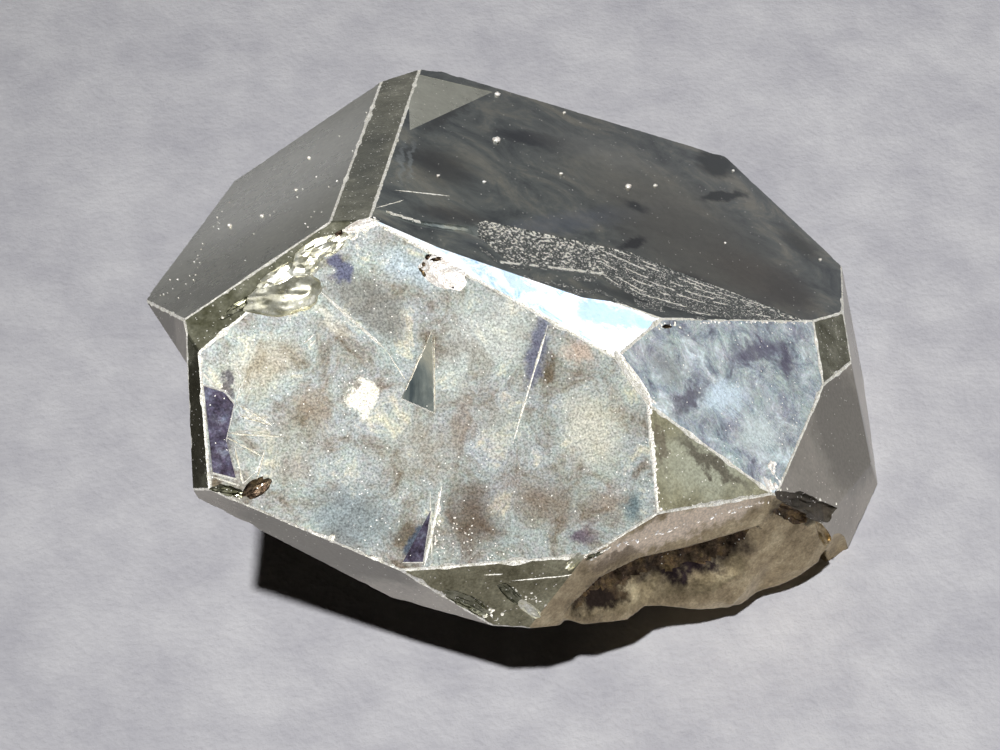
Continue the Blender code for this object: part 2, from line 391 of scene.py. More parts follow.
@dataclass(frozen=True)
class Studio:
    """The pale paper, the dim room and the soft lights round the crystal.

    Attributes:
        paper_half_mm: Half the side of the sheet.
        aim_mm: The crystal's middle, which the lights face.
        room_colour: What mirror faces show where no panel is.
        mottle_colours: The paper's darker and lighter colour.
        mottle_mm: Width of the paper's clouds.
        fibre_mm: Width of its fibres.
        fibre_depth_mm: Height of its fibres.
        glow_mm: Where the paper beyond the lamp's cone begins to glow, and where it does fully.
        glow_colour: The colour of that glow, which keeps low views from ending in black.
        glow: How bright that glow is.
        key: The lamp.
        panels: The panels that the faces mirror.
    """

    paper_half_mm: float = 900.0
    aim_mm: Triple = (0.0, 0.0, 4.7)
    room_colour: str = "7A7C7A"
    mottle_colours: tuple[str, str] = ("B4B3B9", "CBCACD")
    mottle_mm: float = 2.5
    fibre_mm: float = 0.16
    fibre_depth_mm: float = 0.05
    glow_mm: tuple[float, float] = (34.0, 66.0)
    glow_colour: str = "F0F0F4"
    glow: float = 0.40
    key: KeyLamp = KeyLamp()
    panels: tuple[Panel, ...] = (
        Panel("front_right", (0.43, -0.43, 0.79), (36.0, 36.0), 0.80),
        Panel("back_right", (0.54, 0.75, 0.38), (24.0, 14.0), 0.98),
        Panel("right_back", (0.80, 0.55, 0.24), (38.0, 20.0), 1.05),
        Panel("right", (0.89, -0.12, 0.44), (40.0, 30.0), 0.75),
        Panel("back", (0.05, 0.99, 0.10), (64.0, 12.0), 0.45),
        Panel("overhead", (-0.29, 0.30, 0.91), (36.0, 36.0), 0.44),
    )

    def build(self) -> None:
        """Lay the paper, light the room and set the lamps."""
        self._paper()
        self._room()
        for light in (self.key, *self.panels):
            light.build(Vector(self.aim_mm) * MM)
        bpy.context.scene.view_settings.view_transform = "Standard"

    def _paper(self) -> None:
        """A sheet of matt grey paper with a faint cool mottle."""
        deselect_all()
        bpy.ops.mesh.primitive_plane_add(size=2.0 * self.paper_half_mm * MM)
        paper = bpy.context.object
        paper.name = "paper"
        material = bpy.data.materials.new("matt drawing paper")
        material.use_nodes = True
        tree = material.node_tree
        shader = tree.nodes["Principled BSDF"]
        place = add_node(tree, "TexCoord").outputs["Object"]
        cloud = add_noise(tree, place, self.mottle_mm, 8.0, Roughness=0.7)
        tone = add_node(tree, "ValToRGB", {"Fac": cloud.outputs["Fac"]})
        stops = tone.color_ramp.elements
        for stop, at, colour in zip(stops, (0.35, 0.65), self.mottle_colours):
            stop.position = at
            stop.color = linear(colour)
        tree.links.new(tone.outputs["Color"], shader.inputs["Base Color"])
        fibre = add_noise(tree, place, self.fibre_mm, 4.0)
        relief = {"Height": fibre.outputs["Fac"], "Strength": 0.8, "Distance": self.fibre_depth_mm * MM}
        bump = add_node(tree, "Bump", relief)
        tree.links.new(bump.outputs["Normal"], shader.inputs["Normal"])
        shader.inputs["Roughness"].default_value = 1.0
        shader.inputs["Specular IOR Level"].default_value = 0.0
        shader.inputs["Emission Color"].default_value = linear(self.glow_colour)
        away = add_node(tree, "VectorMath", {0: place}, operation="LENGTH").outputs["Value"]
        near, far = self.glow_mm
        glow = add_range(tree, away, (near * MM, far * MM), (0.0, self.glow), "SMOOTHSTEP")
        tree.links.new(glow, shader.inputs["Emission Strength"])
        paper.data.materials.append(material)

    def _room(self) -> None:
        """An even dim room, which the mirror faces show as near black."""
        world = bpy.data.worlds.new("dim room")
        world.use_nodes = True
        bpy.context.scene.world = world
        world.node_tree.nodes["Background"].inputs["Color"].default_value = linear(self.room_colour)
        world.cycles_visibility.diffuse = False


# ------------------------------------------------------------- faces and finishes


class Face(Enum):
    """The crystal's flat faces, by the rough direction that each looks in."""

    FRONT = (0.2, -0.6, 0.8)
    LEFT = (-0.5, 0.4, 0.8)
    LOWER_LEFT = (-0.3, -0.9, -0.3)
    TOP = (0.4, 0.3, 0.9)
    TIP_TOP = (-0.7, -0.5, 0.5)
    SHIELD_TOP = (0.6, -0.1, 0.8)
    LOWER = (0.2, -1.0, 0.2)
    BRIGHT = (0.4, 0.1, 0.9)
    TOP_BEVEL = (-0.1, 0.4, 0.9)
    LEFT_BEVEL = (-0.2, -0.2, 1.0)
    SHIELD_LOW = (0.5, -0.5, 0.7)
    CORNER = (0.7, -0.1, 0.7)
    SHOULDER = (0.8, -0.2, 0.5)
    STRIP = (0.5, -0.9, 0.1)
    TIP = (-0.9, -0.2, 0.2)
    CONTACT = (0.5, -0.9, 0.0)
    CONTACT_RIGHT = (0.9, -0.4, 0.2)
    BACK = (-0.3, 0.9, -0.2)
    BACK_LEFT = (-0.6, 0.8, 0.0)
    BACK_CORNER = (0.2, 0.9, -0.4)
    BACK_RIGHT = (0.7, 0.4, -0.5)
    SIDE_RIGHT = (1.0, 0.0, 0.3)
    UNDER_LEFT = (-0.7, 0.0, -0.7)
    UNDER_FRONT = (-0.5, -0.3, -0.8)
    UNDER_LIP = (-0.2, -0.5, -0.8)
    REST = (0.0, 0.0, -1.0)


class Skin(Enum):
    """The finishes of the crystal's skin, in the order of its material slots."""

    ETCHED = 0
    BRIGHT = 1
    DARK = 2
    OLIVE = 3
    LEAF = 4
    SHIELD = 5
    SMOOTH = 6
    LOWER = 7
    CONTACT = 8
    HOLLOW = 9
    EDGE = 10
    CHIP = 11
    STRIATED = 12
    PURPLE = 13
    CRUST = 14
    UNDER = 15


FACE_SKINS: dict[Face, Skin] = {
    Face.FRONT: Skin.ETCHED,
    Face.LEFT: Skin.LEAF,
    Face.LOWER_LEFT: Skin.SMOOTH,
    Face.TOP: Skin.DARK,
    Face.TIP_TOP: Skin.OLIVE,
    Face.SHIELD_TOP: Skin.SHIELD,
    Face.LOWER: Skin.LOWER,
    Face.BRIGHT: Skin.BRIGHT,
    Face.TOP_BEVEL: Skin.OLIVE,
    Face.LEFT_BEVEL: Skin.OLIVE,
    Face.SHIELD_LOW: Skin.LOWER,
    Face.CORNER: Skin.OLIVE,
    Face.SHOULDER: Skin.SMOOTH,
    Face.STRIP: Skin.CONTACT,
    Face.TIP: Skin.SMOOTH,
    Face.CONTACT: Skin.CONTACT,
    Face.CONTACT_RIGHT: Skin.SMOOTH,
    Face.BACK: Skin.LEAF,
    Face.BACK_LEFT: Skin.SHIELD,
    Face.BACK_CORNER: Skin.ETCHED,
    Face.BACK_RIGHT: Skin.SHIELD,
    Face.SIDE_RIGHT: Skin.SMOOTH,
    Face.UNDER_LEFT: Skin.UNDER,
    Face.UNDER_FRONT: Skin.UNDER,
    Face.UNDER_LIP: Skin.UNDER,
    Face.REST: Skin.UNDER,
}


# The colour of painted glints: cells given it stand in for facets that catch the light.
GLINT = "FFFBF2"


@dataclass(frozen=True)
class StainOrPaintedLight:
    """A soft ragged patch of another colour on a face: a real stain, or painted light, shade or
    reflection.

    Attributes:
        face: The face that it is on.
        middle: Its middle in the front view.
        half: Its half sizes in the view's pixels, along its long way and across it.
        turn_deg: How far the long way is turned, clockwise from level in the view.
        colour: Its own colour.
        strength: How far it covers, from 0 to 1.
        soft: The share of its radius over which it fades.
        thick_mm: How far it reaches in and out of the face, so that bites in it take it on.
    """

    face: Face
    middle: Spot
    half: Spot
    turn_deg: float
    colour: str
    strength: float
    soft: float = 0.8
    thick_mm: float = 1.6

    def place(self, planes: dict[Face, "Plane"], camera: FrontCamera) -> Matrix:
        """Find the frame in which the patch is a ball of radius one.

        Args:
            planes: The crystal's faces, in millimetres.
            camera: The camera whose view gives the patch's place.

        Returns:
            The frame, in metres.
        """
        plane = planes[self.face]
        turn = math.radians(self.turn_deg)
        ways = ((math.cos(turn), math.sin(turn)), (math.sin(turn), -math.cos(turn)))
        ends = []
        for (x, y), reach in zip(ways, self.half):
            end = (self.middle[0] + x * reach, self.middle[1] + y * reach)
            ends.append(camera.on_plane(end, plane))
        at = camera.on_plane(self.middle, plane)
        long_way, cross = ends[0] - at, ends[1] - at
        frame_at = plane.frame_at(at, long_way)
        across = abs(cross.dot(frame_at.col[1].to_3d()))
        sized = frame_at @ Matrix.Diagonal(Vector((long_way.length, across, self.thick_mm, 1.0)))
        return Matrix.Scale(MM, 4) @ sized


@dataclass(frozen=True)
class Finish:
    """One finish of natural pyrite, a pale brassy metal, as growth or breakage left it; some finishes also
    carry painted glints, highlights, reflections and shade in their colour.

    Attributes:
        name: What the surface is.
        colours: sRGB colours of the mottle, from its low places to its high ones.
        mottle_mm: Width of the broad mottle.
        grain_mm: Width of the fine grain.
        grain_depth_mm: Height of the grain's relief.
        roughness: Lowest and highest roughness over the mottle.
        tint: How far thin tarnish colours wander, from 0 to 1.
        film_mm: Width of the finest tarnish films.
        glitter: Share of tiny cells painted near white as glints.
        glitter_mm: Width of those painted glints.
        contrast: Half width of the mottle's ramp; a small value makes it harsh.
        speckle: How far the grain lightens and darkens the colour.
        swirl: How far the mottle is drawn out into curls.
        ragged_mm: How far the borders of stains stray.
        stray_mm: Width of the waves in those borders.
        metallic: One for bare metal, less where crushed grains scatter the light.
    """

    name: str
    colours: tuple[str, ...]
    mottle_mm: float
    grain_mm: float
    grain_depth_mm: float
    roughness: tuple[float, float]
    tint: float = 0.0
    film_mm: float = 0.09
    glitter: float = 0.0
    glitter_mm: float = 0.024
    contrast: float = 0.16
    speckle: float = 0.30
    swirl: float = 0.0
    # ragged_mm: How far the borders of the patches stray.
    ragged_mm: float = 1.2
    stray_mm: float = 0.45
    metallic: float = 1.0

    def build(self, stains_and_painted_light: list[tuple[Matrix, StainOrPaintedLight]]) -> bpy.types.Material:
        """Make the finish's material.

        Args:
            stains_and_painted_light: The patches of other colours, real stains and painted light, each
                with its frame.

        Returns:
            A material whose patterns lie in the object's own coordinates.
        """
        material = bpy.data.materials.new(self.name)
        material.use_nodes = True
        tree = material.node_tree
        shader = tree.nodes["Principled BSDF"]
        shader.inputs["Metallic"].default_value = self.metallic
        place = add_node(tree, "TexCoord").outputs["Object"]
        mottle = add_noise(tree, place, self.mottle_mm, 8.0, Roughness=0.70, Distortion=self.swirl)
        grain = add_noise(tree, place, self.grain_mm, 2.0, Roughness=0.6).outputs["Fac"]
        colour = self._mottled(tree, mottle.outputs["Fac"])
        colour = self._tarnished(tree, place, colour)
        colour = self._stained_and_painted(tree, place, colour, stains_and_painted_light)
        colour = self._grained(tree, grain, colour)
        colour = self._glittering(tree, place, colour)
        tree.links.new(colour, shader.inputs["Base Color"])
        rough = add_range(tree, mottle.outputs["Fac"], NOISE_SPAN, self.roughness)
        tree.links.new(rough, shader.inputs["Roughness"])
        if self.grain_depth_mm > 0.0:
            relief = {"Height": grain, "Strength": 1.0, "Distance": self.grain_depth_mm * MM}
            bump = add_node(tree, "Bump", relief)
            tree.links.new(bump.outputs["Normal"], shader.inputs["Normal"])
        return material

    def _mottled(self, tree: Tree, height: Socket) -> Socket:
        """The broad mottle's colours.

        Args:
            tree: The material's node tree.
            height: The mottle's noise.

        Returns:
            The mottled colour.
        """
        ramp = add_node(tree, "ValToRGB", {"Fac": height})
        stops = ramp.color_ramp.elements
        steps = len(self.colours) - 1
        for number in range(len(self.colours)):
            at = 0.5 + self.contrast * (2.0 * number / steps - 1.0)
            stop = stops[number] if number < 2 else stops.new(at)
            stop.position = at
        for number, colour in enumerate(self.colours):
            stops[number].color = linear(colour)
        return ramp.outputs["Color"]

    def _tarnished(self, tree: Tree, place: Socket, colour: Socket) -> Socket:
        """Thin films of tarnish, which shift the hue from place to place and grain to grain.

        Args:
            tree: The material's node tree.
            place: The object's own coordinates.
            colour: The colour so far.

        Returns:
            The tarnished colour.
        """
        if self.tint == 0.0:
            return colour
        for width in (0.8 * self.mottle_mm, self.film_mm):
            film = add_noise(tree, place, width, 3.0)
            colour = add_mix(tree, self.tint, colour, film.outputs["Color"], "OVERLAY")
        return colour

    def _stained_and_painted(
        self, tree: Tree, place: Socket, colour: Socket, stains_and_painted_light: list[tuple[Matrix, StainOrPaintedLight]]
    ) -> Socket:
        """Soft patches of other colours, with ragged borders.

        Args:
            tree: The material's node tree.
            place: The object's own coordinates.
            colour: The colour so far.
            stains_and_painted_light: The patches, each with its frame.

        Returns:
            The stained colour.
        """
        if not stains_and_painted_light:
            return colour
        stray = add_noise(tree, place, self.stray_mm, 5.0, Roughness=0.65).outputs["Color"]
        centred = add_node(tree, "VectorMath", {0: stray, 1: (0.5, 0.5, 0.5)}, operation="SUBTRACT")
        reach = {0: centred.outputs["Vector"], "Scale": self.ragged_mm * MM}
        sway = add_node(tree, "VectorMath", reach, operation="SCALE")
        ragged = add_node(tree, "VectorMath", {0: place, 1: sway.outputs["Vector"]}, operation="ADD")
        for matrix, stain_or_painted_light in stains_and_painted_light:
            ball = add_node(
                tree, "Mapping",
                {"Vector": ragged.outputs["Vector"], "Location": matrix.translation,
                 "Rotation": matrix.to_euler(), "Scale": matrix.to_scale()},
                vector_type="TEXTURE",
            )
            inward = {"Vector": ball.outputs["Vector"]}
            fade = add_node(tree, "TexGradient", inward, gradient_type="SPHERICAL").outputs["Fac"]
            cover = add_range(tree, fade, (0.0, stain_or_painted_light.soft), (0.0, stain_or_painted_light.strength), "SMOOTHSTEP")
            colour = add_mix(tree, cover, colour, linear(stain_or_painted_light.colour))
        return colour

    def _grained(self, tree: Tree, grain: Socket, colour: Socket) -> Socket:
        """Fine light and dark grains."""
        shade = add_range(tree, grain, NOISE_SPAN, (1.0 - self.speckle, 1.0 + self.speckle))
        return add_mix(tree, 1.0, colour, shade, "MULTIPLY")

    def _glittering(self, tree: Tree, place: Socket, colour: Socket) -> Socket:
        """Painted glints: single cells coloured near white, brighter than the grain round them.

        Args:
            tree: The material's node tree.
            place: The object's own coordinates.
            colour: The colour so far.

        Returns:
            The glittering colour.
        """
        if self.glitter == 0.0:
            return colour
        cells = add_node(tree, "TexVoronoi", {"Vector": place, "Scale": 1.0 / (self.glitter_mm * MM)})
        chance = add_node(tree, "SeparateColor", {"Color": cells.outputs["Color"]})
        pick = {0: chance.outputs["Red"], 1: 1.0 - self.glitter}
        lit = add_node(tree, "Math", pick, operation="GREATER_THAN").outputs["Value"]
        return add_mix(tree, lit, colour, linear(GLINT))


FINISHES: dict[Skin, Finish] = {
    # A micro-etched growth face: pits too small to see scatter the light and hold films
    # of tarnish, so it looks like frosted pewter with faint pinks and greens in it.
    Skin.ETCHED: Finish(
        "etched pyrite growth face", ("6A5F50", "93928A", "9EA5A3", "C0BCA8"), 0.9, 0.045, 0.002,
        (0.27, 0.37), tint=0.08, glitter=0.003, speckle=0.48, swirl=0.5, ragged_mm=0.8,
    ),
    # A perfect mirror turned to the light; its bluish white base colour is a painted reflection of the
    # bright light.
    Skin.BRIGHT: Finish(
        "pyrite mirror face with painted bright reflection", ("8FB4DC", "D6E4F2", "FFFFFF", "FFFFFF"), 0.8, 0.15, 0.0,
        (0.16, 0.24), speckle=0.06, swirl=0.4,
    ),
    # A mirror face that shows the dark room; its darkened base colour, mottled with soft slate and olive
    # patches, is painted reflection of that room.
    Skin.DARK: Finish(
        "pyrite mirror face with painted dark reflections", ("444C4E", "6E7470", "949284"), 1.8, 0.20, 0.0, (0.12, 0.20),
        speckle=0.10, glitter=0.0015, swirl=0.8, ragged_mm=0.7, contrast=0.14,
    ),
    Skin.OLIVE: Finish(
        "narrow pyrite mirror face", ("5E5D48", "848370", "A4A290"), 0.6, 0.08, 0.002, (0.18, 0.30),
        glitter=0.012, speckle=0.2,
    ),
    Skin.LEAF: Finish(
        "smooth pyrite growth face", ("9A9A8C", "B0B0A2", "BCBCAE"), 2.6, 0.12, 0.001, (0.24, 0.32),
        glitter=0.004, speckle=0.08,
    ),
    Skin.SHIELD: Finish(
        "watered pyrite growth face", ("4C4A58", "868E96", "A4ACAE", "D2DCE0"), 0.8, 0.06, 0.001,
        (0.22, 0.32), tint=0.12, glitter=0.003, speckle=0.24, contrast=0.17, swirl=1.2,
    ),
    Skin.SMOOTH: Finish(
        "satin pyrite face", ("A09A8E", "B0AA9E", "BAB4A8"), 1.8, 0.08, 0.001, (0.26, 0.34),
        glitter=0.004, speckle=0.1,
    ),
    Skin.LOWER: Finish(
        "fine-grained pyrite face", ("6C6853", "8E8A72", "A9A68D"), 0.7, 0.06, 0.003, (0.26, 0.36),
        glitter=0.006, speckle=0.26,
    ),
    # The side where a neighbour grew against it never took a crystal face.
    Skin.CONTACT: Finish(
        "contact surface of pyrite", ("86785E", "AC9C7E", "CCBE9E"), 0.6, 0.06, 0.006, (0.34, 0.46),
        speckle=0.22,
    ),
    Skin.HOLLOW: Finish(
        "stained hollow in pyrite", ("2C231C", "54473A", "7A6648"), 0.3, 0.06, 0.010, (0.30, 0.50),
        tint=0.08, glitter=0.004, speckle=0.4,
    ),
    # Worn crystal edges: crushed to grains that scatter the light like frost. The bevel and its beads are
    # real wear; their near-white colour and dense glitter are painted highlight.
    Skin.EDGE: Finish(
        "crushed pyrite edge with painted highlight", ("C9C4B0", "F1EEE2", "FFFEFA"), 0.12, 0.04, 0.020, (0.35, 0.55),
        glitter=0.25, speckle=0.35, metallic=0.30,
    ),
    # Fresh conchoidal breaks show the true brassy colour.
    Skin.CHIP: Finish(
        "broken pyrite", ("B0AC92", "E4E1CE", "FFFFF8"), 0.35, 0.08, 0.002, (0.28, 0.38),
        glitter=0.02, speckle=0.14,
    ),
    Skin.STRIATED: Finish(
        "striated pyrite band", ("2C2E2D", "4A4E4C", "8A8E88"), 0.07, 0.04, 0.012, (0.28, 0.40),
        glitter=0.10, speckle=0.5, metallic=0.8,
    ),
    Skin.PURPLE: Finish(
        "tarnished pyrite step and painted shade stroke", ("2C2630", "4A4654", "6E7080"), 0.4, 0.05, 0.002, (0.30, 0.40),
        tint=0.12, glitter=0.004, speckle=0.25,
    ),
    # Grains of pale mineral dust grown onto the face.
    Skin.CRUST: Finish(
        "pale mineral crust", ("E2D4C8", "FCF6EE", "FFFFFF"), 0.10, 0.04, 0.020, (0.40, 0.6),
        speckle=0.3, metallic=0.45,
    ),
    # The underside is coloured darker than the faces above it: painted shade, which also keeps the shadow
    # cast on the paper dark.
    Skin.UNDER: Finish(
        "matt underside of pyrite with painted shade", ("3A352C", "504A40", "686054"), 0.9, 0.10, 0.006, (0.34, 0.50),
        tint=0.06, glitter=0.01, speckle=0.2,
    ),
}


STAINS_AND_PAINTED_LIGHT = tuple(
    StainOrPaintedLight(face, *patch)
    for face, patches in (
        (Face.FRONT, (
            ((472, 516), (44, 52), 0, "5C4C40", 0.8),
            ((548, 502), (62, 34), 10, "7A6C5E", 0.7),
            ((462, 420), (16, 56), 8, "8A7C70", 0.55),
            ((372, 306), (64, 26), 42, "76746E", 0.8, 0.5),
            ((330, 322), (40, 8), 40, "CDC8B8", 0.6),
            ((350, 518), (66, 46), 10, "7A8488", 0.75),
            ((536, 352), (50, 13), 102, "5A5C74", 0.75, 0.6),
            ((262, 365), (60, 36), -20, "C6BFA8", 0.45),
            ((592, 430), (60, 44), 80, "D2CCB6", 0.5),
            ((500, 330), (40, 60), 20, "C4C6BE", 0.5),
            ((460, 350), (26, 70), 10, "BFC2BC", 0.4),
            ((580, 352), (26, 18), 20, "BFA693", 0.6),
            ((290, 440), (60, 40), 0, "8C8474", 0.4),
            ((420, 450), (50, 50), 0, "A09A8C", 0.4),
            ((222, 440), (50, 18), 95, "4A4450", 0.7),
            ((312, 404), (34, 24), 60, "8E7C68", 0.6),
            ((290, 470), (30, 20), -10, "93887A", 0.5),
            ((414, 540), (28, 12), -62, "4A5666", 0.85, 0.5),
            ((632, 508), (22, 13), 80, "5A6C72", 0.8),
            ((580, 536), (24, 10), -8, "5A4C5A", 0.8),
            ((338, 266), (20, 13), 60, "52546E", 0.85, 0.5),
            ((408, 268), (44, 20), 25, "AEBCC6", 0.6),
            ((228, 386), (24, 9), 100, "4E4A50", 0.85, 0.5),
            ((361, 396), (19, 22), 0, "F0EBDA", 0.95, 0.3),
            ((351, 386), (5, 5), 0, "807A72", 0.9, 0.4),
            ((500, 420), (34, 30), 0, "A0A096", 0.5),
            ((610, 500), (24, 20), 0, "8C7E70", 0.6),
        )),
        # Painted reflections: the soft dark, slate and brown-grey patches on the top face stand in for the
        # room blurred in its mirror.
        (Face.TOP, (
            ((640, 188), (110, 40), 12, "8A897C", 0.7),
            ((570, 222), (120, 16), -10, "6C7480", 0.6),
            ((700, 250), (150, 60), 24, "6E6C62", 0.85),
            ((762, 280), (66, 34), 12, "625C52", 0.8),
            ((692, 285), (32, 22), 50, "1C1E1E", 0.9),
            ((655, 300), (110, 12), 12, "3E4240", 0.85),
            ((790, 292), (44, 22), 24, "4E4C46", 0.7),
            ((535, 139), (56, 9), 6, "16202A", 0.95, 0.6),
            ((716, 164), (26, 16), 30, "12201F", 0.95, 0.5),
            ((722, 196), (32, 7), -8, "12201F", 0.95, 0.6),
            ((632, 243), (18, 7), -20, "12161A", 0.95, 0.6),
            ((636, 206), (16, 7), 10, "20282A", 0.9),
            ((440, 165), (52, 26), 30, "30302C", 0.8),
            ((402, 162), (32, 4), 94, "98A0A0", 0.6),
            ((412, 160), (30, 4), 94, "98A0A0", 0.6),
            ((600, 150), (90, 20), 12, "9A9C94", 0.5),
            ((455, 108), (60, 10), -38, "2C302E", 0.8),
            ((450, 215), (60, 12), 8, "2A2C2E", 0.8),
            ((800, 245), (40, 14), 48, "1E2622", 0.8),
        )),
        (Face.SHIELD_TOP, (
            ((786, 362), (34, 14), 84, "4A4658", 0.9),
            ((755, 350), (36, 13), -10, "565464", 0.85),
            ((688, 398), (34, 14), -48, "54525E", 0.85),
            ((664, 366), (30, 20), 20, "7E8080", 0.7),
            ((722, 398), (34, 24), -20, "C8D8E4", 0.75),
            ((762, 436), (34, 26), 60, "C4CECE", 0.7),
        )),
        (Face.SHIELD_LOW, (
            # Painted light: a broad pale patch lightens most of the lower shield face.
            ((704, 466), (74, 46), 14, "B2B4A2", 0.75),
            ((712, 462), (62, 9), 36, "5C564C", 0.85, 0.7),
            ((661, 446), (34, 7), 84, "6A6054", 0.7, 0.7),
            # Painted shade: a short dark stroke on the lower shield face.
            ((700, 434), (26, 8), 35, "6C6E66", 0.7),
        )),
        (Face.CONTACT, (
            ((618, 590), (56, 24), -22, "2E2622", 1.0, 0.45),
            ((700, 564), (66, 23), -18, "30272A", 1.0, 0.45),
            ((650, 580), (60, 16), -16, "3E342E", 0.85, 0.6),
            ((709, 560), (12, 9), 0, "86683E", 0.9),
            ((630, 598), (14, 6), -10, "5E4E3C", 0.8),
            ((800, 510), (30, 14), 20, "3E3A30", 0.9, 0.5),
            ((752, 530), (8, 6), 0, "14100E", 0.9, 0.5),
        )),
        (Face.LEFT, (
            # Painted reflection: the upper part of the left face is lightened where it mirrors paper
            # farther off.
            ((285, 180), (120, 70), -50, "E8E8DE", 0.85),
        )),
        (Face.TIP_TOP, (
            ((196, 420), (90, 20), 90, "4A463A", 0.8, 0.4),
        )),
        (Face.TOP_BEVEL, (
            ((368, 160), (70, 30), 105, "4A4E44", 0.6),
        )),
        (Face.BRIGHT, (
            # Painted reflection: pale blue patches on the bright face.
            ((614, 316), (58, 17), 8, "A6C2E2", 0.95, 0.5),
            ((516, 281), (30, 8), 32, "B8CEE6", 0.95, 0.5),
            ((646, 322), (16, 6), -8, "9DBDE0", 0.9, 0.5),
        )),
        (Face.STRIP, (
            ((680, 526), (120, 18), -20, "EEDECA", 0.85, 0.5),
            ((620, 558), (30, 10), -24, "7A6C58", 0.8, 0.5),
            ((790, 510), (26, 14), 0, "5C5444", 0.9, 0.5),
        )),
        (Face.SHOULDER, (
            ((845, 430), (70, 40), 90, "8E8A80", 0.9, 0.4),
        )),
        (Face.LOWER_LEFT, (
            ((330, 545), (120, 30), 20, "7C786E", 0.85, 0.4),
        )),
        (Face.TIP, (
            ((160, 325), (50, 24), 70, "8A857A", 0.9, 0.4),
        )),
    )
    for patch in patches
)


# ---------------------------------------------------------- the crystal's own shape


@dataclass(frozen=True)
class Plane:
    """A flat face.

    Attributes:
        normal: The way it looks.
        point: A point on it, in millimetres.
    """

    normal: Vector
    point: Vector

    def height(self, point: Vector) -> float:
        """How far a point stands proud of the plane."""
        return self.normal.dot(point - self.point)

    def frame_at(self, at: Vector, long_way: Vector) -> Matrix:
        """Find a frame on the face, with Z outward.

        Args:
            at: A point at or near the face, in millimetres.
            long_way: The rough direction of X.

        Returns:
            The frame, with its origin on the face.
        """
        long_way = (long_way - self.normal * self.normal.dot(long_way)).normalized()
        axes = Matrix((long_way, self.normal.cross(long_way), self.normal)).transposed().to_4x4()
        return Matrix.Translation(at - self.normal * self.height(at)) @ axes

    def level_frame(self, at: Triple, turn_deg: float) -> Matrix:
        """Find a frame on the face from a level one.

        Args:
            at: A point at or near the face, in millimetres.
            turn_deg: How far it is turned about the face's normal.

        Returns:
            The frame, with its origin on the face and Z outward.
        """
        level = Vector((0.0, 0.0, 1.0)).cross(self.normal)
        if level.length < 1e-3:
            level = Vector((1.0, 0.0, 0.0))
        return self.frame_at(Vector(at), level) @ Matrix.Rotation(math.radians(turn_deg), 4, "Z")


@dataclass(frozen=True)
class FrameFaces:
    """Reads the crystal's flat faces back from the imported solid.

    Attributes:
        least_area: The smallest area that counts as a face, in square millimetres.
        least_triangle: The smallest triangle that is looked at.
        same_way: The cosine between normals of one face.
        same_level: How far parts of one face may lie apart in height, in millimetres.
        proud: How far another face's middle may stand out of an outer face.
    """

    least_area: float = 0.30
    least_triangle: float = 0.01
    same_way: float = math.cos(math.radians(0.35))
    same_level: float = 0.006
    proud: float = 0.02

    def read(self, node: bpy.types.Object) -> dict[Face, Plane]:
        """Find each named face's plane.

        Args:
            node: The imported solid, which is only read.

        Returns:
            The plane of every face that the solid has.
        """
        groups = self._groups(node)
        outer = [g for g in groups if self._is_outer(g, groups)]
        found: dict[Face, Plane] = {}
        for normal, point, area in sorted(outer, key=lambda g: -g[2]):
            nearest = max(Face, key=lambda f: Vector(f.value).normalized().dot(normal))
            if nearest not in found:
                found[nearest] = Plane(normal, point)
            way = tuple(round(v, 3) for v in normal)
            log.info("plane %s %.2f mm2 normal %s", nearest.name, area, way)
        return found

    def _groups(self, node: bpy.types.Object) -> list[tuple[Vector, Vector, float]]:
        """Triangles of the solid gathered by plane: normal, middle and area.

        Args:
            node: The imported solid.

        Returns:
            The planes that are large enough.
        """
        work = bmesh.new()
        work.from_mesh(node.data)
        bmesh.ops.scale(work, vec=Vector((1.0, 1.0, 1.0)) / MM, verts=work.verts)
        sizes = [(f.calc_area(), f.normal.copy(), f.calc_center_median()) for f in work.faces]
        sizes.sort(key=lambda size: -size[0])
        work.free()
        gathered: list[list] = []
        for area, normal, middle in sizes:
            if area < self.least_triangle:
                break
            for group in gathered:
                level = abs(group[0].dot(middle - group[3]))
                if group[0].dot(normal) > self.same_way and level < self.same_level:
                    group[1] += middle * area
                    group[2] += area
                    break
            else:
                gathered.append([normal, middle * area, area, middle])
        return [(g[0], g[1] / g[2], g[2]) for g in gathered if g[2] >= self.least_area]

    def _is_outer(self, group: tuple, groups: list[tuple]) -> bool:
        """Whether no other group's middle stands proud of this one."""
        return all(group[0].dot(other[1] - group[1]) < self.proud for other in groups)


# The side of the cube that the crystal is cut from, in millimetres.
BLANK_SIZE = 60.0
SAME_POINT = 1e-6


def cut_blank(planes: dict[Face, Plane]) -> bpy.types.Object:
    """Cut a cube down to the crystal's flat faces.

    Args:
        planes: The faces to cut by, in millimetres.

    Returns:
        The faceted body, with each face's skin as its material index.
    """
    deselect_all()
    bpy.ops.mesh.primitive_cube_add(size=BLANK_SIZE, location=(0.0, 0.0, 0.0))
    body = bpy.context.object
    body.name = "crystal"
    for _ in Skin:
        body.data.materials.append(None)
    bpy.ops.object.mode_set(mode="EDIT")
    for plane in planes.values():
        bpy.ops.mesh.select_all(action="SELECT")
        bpy.ops.mesh.bisect(
            plane_co=plane.point, plane_no=plane.normal, use_fill=True, clear_outer=True,
            threshold=SAME_POINT,
        )
    bpy.ops.mesh.select_all(action="SELECT")
    bpy.ops.mesh.normals_make_consistent(inside=False)
    bpy.ops.object.mode_set(mode="OBJECT")
    for polygon in body.data.polygons:
        face = max(planes, key=lambda f: planes[f].normal.dot(polygon.normal))
        polygon.material_index = FACE_SKINS[face].value
    return body


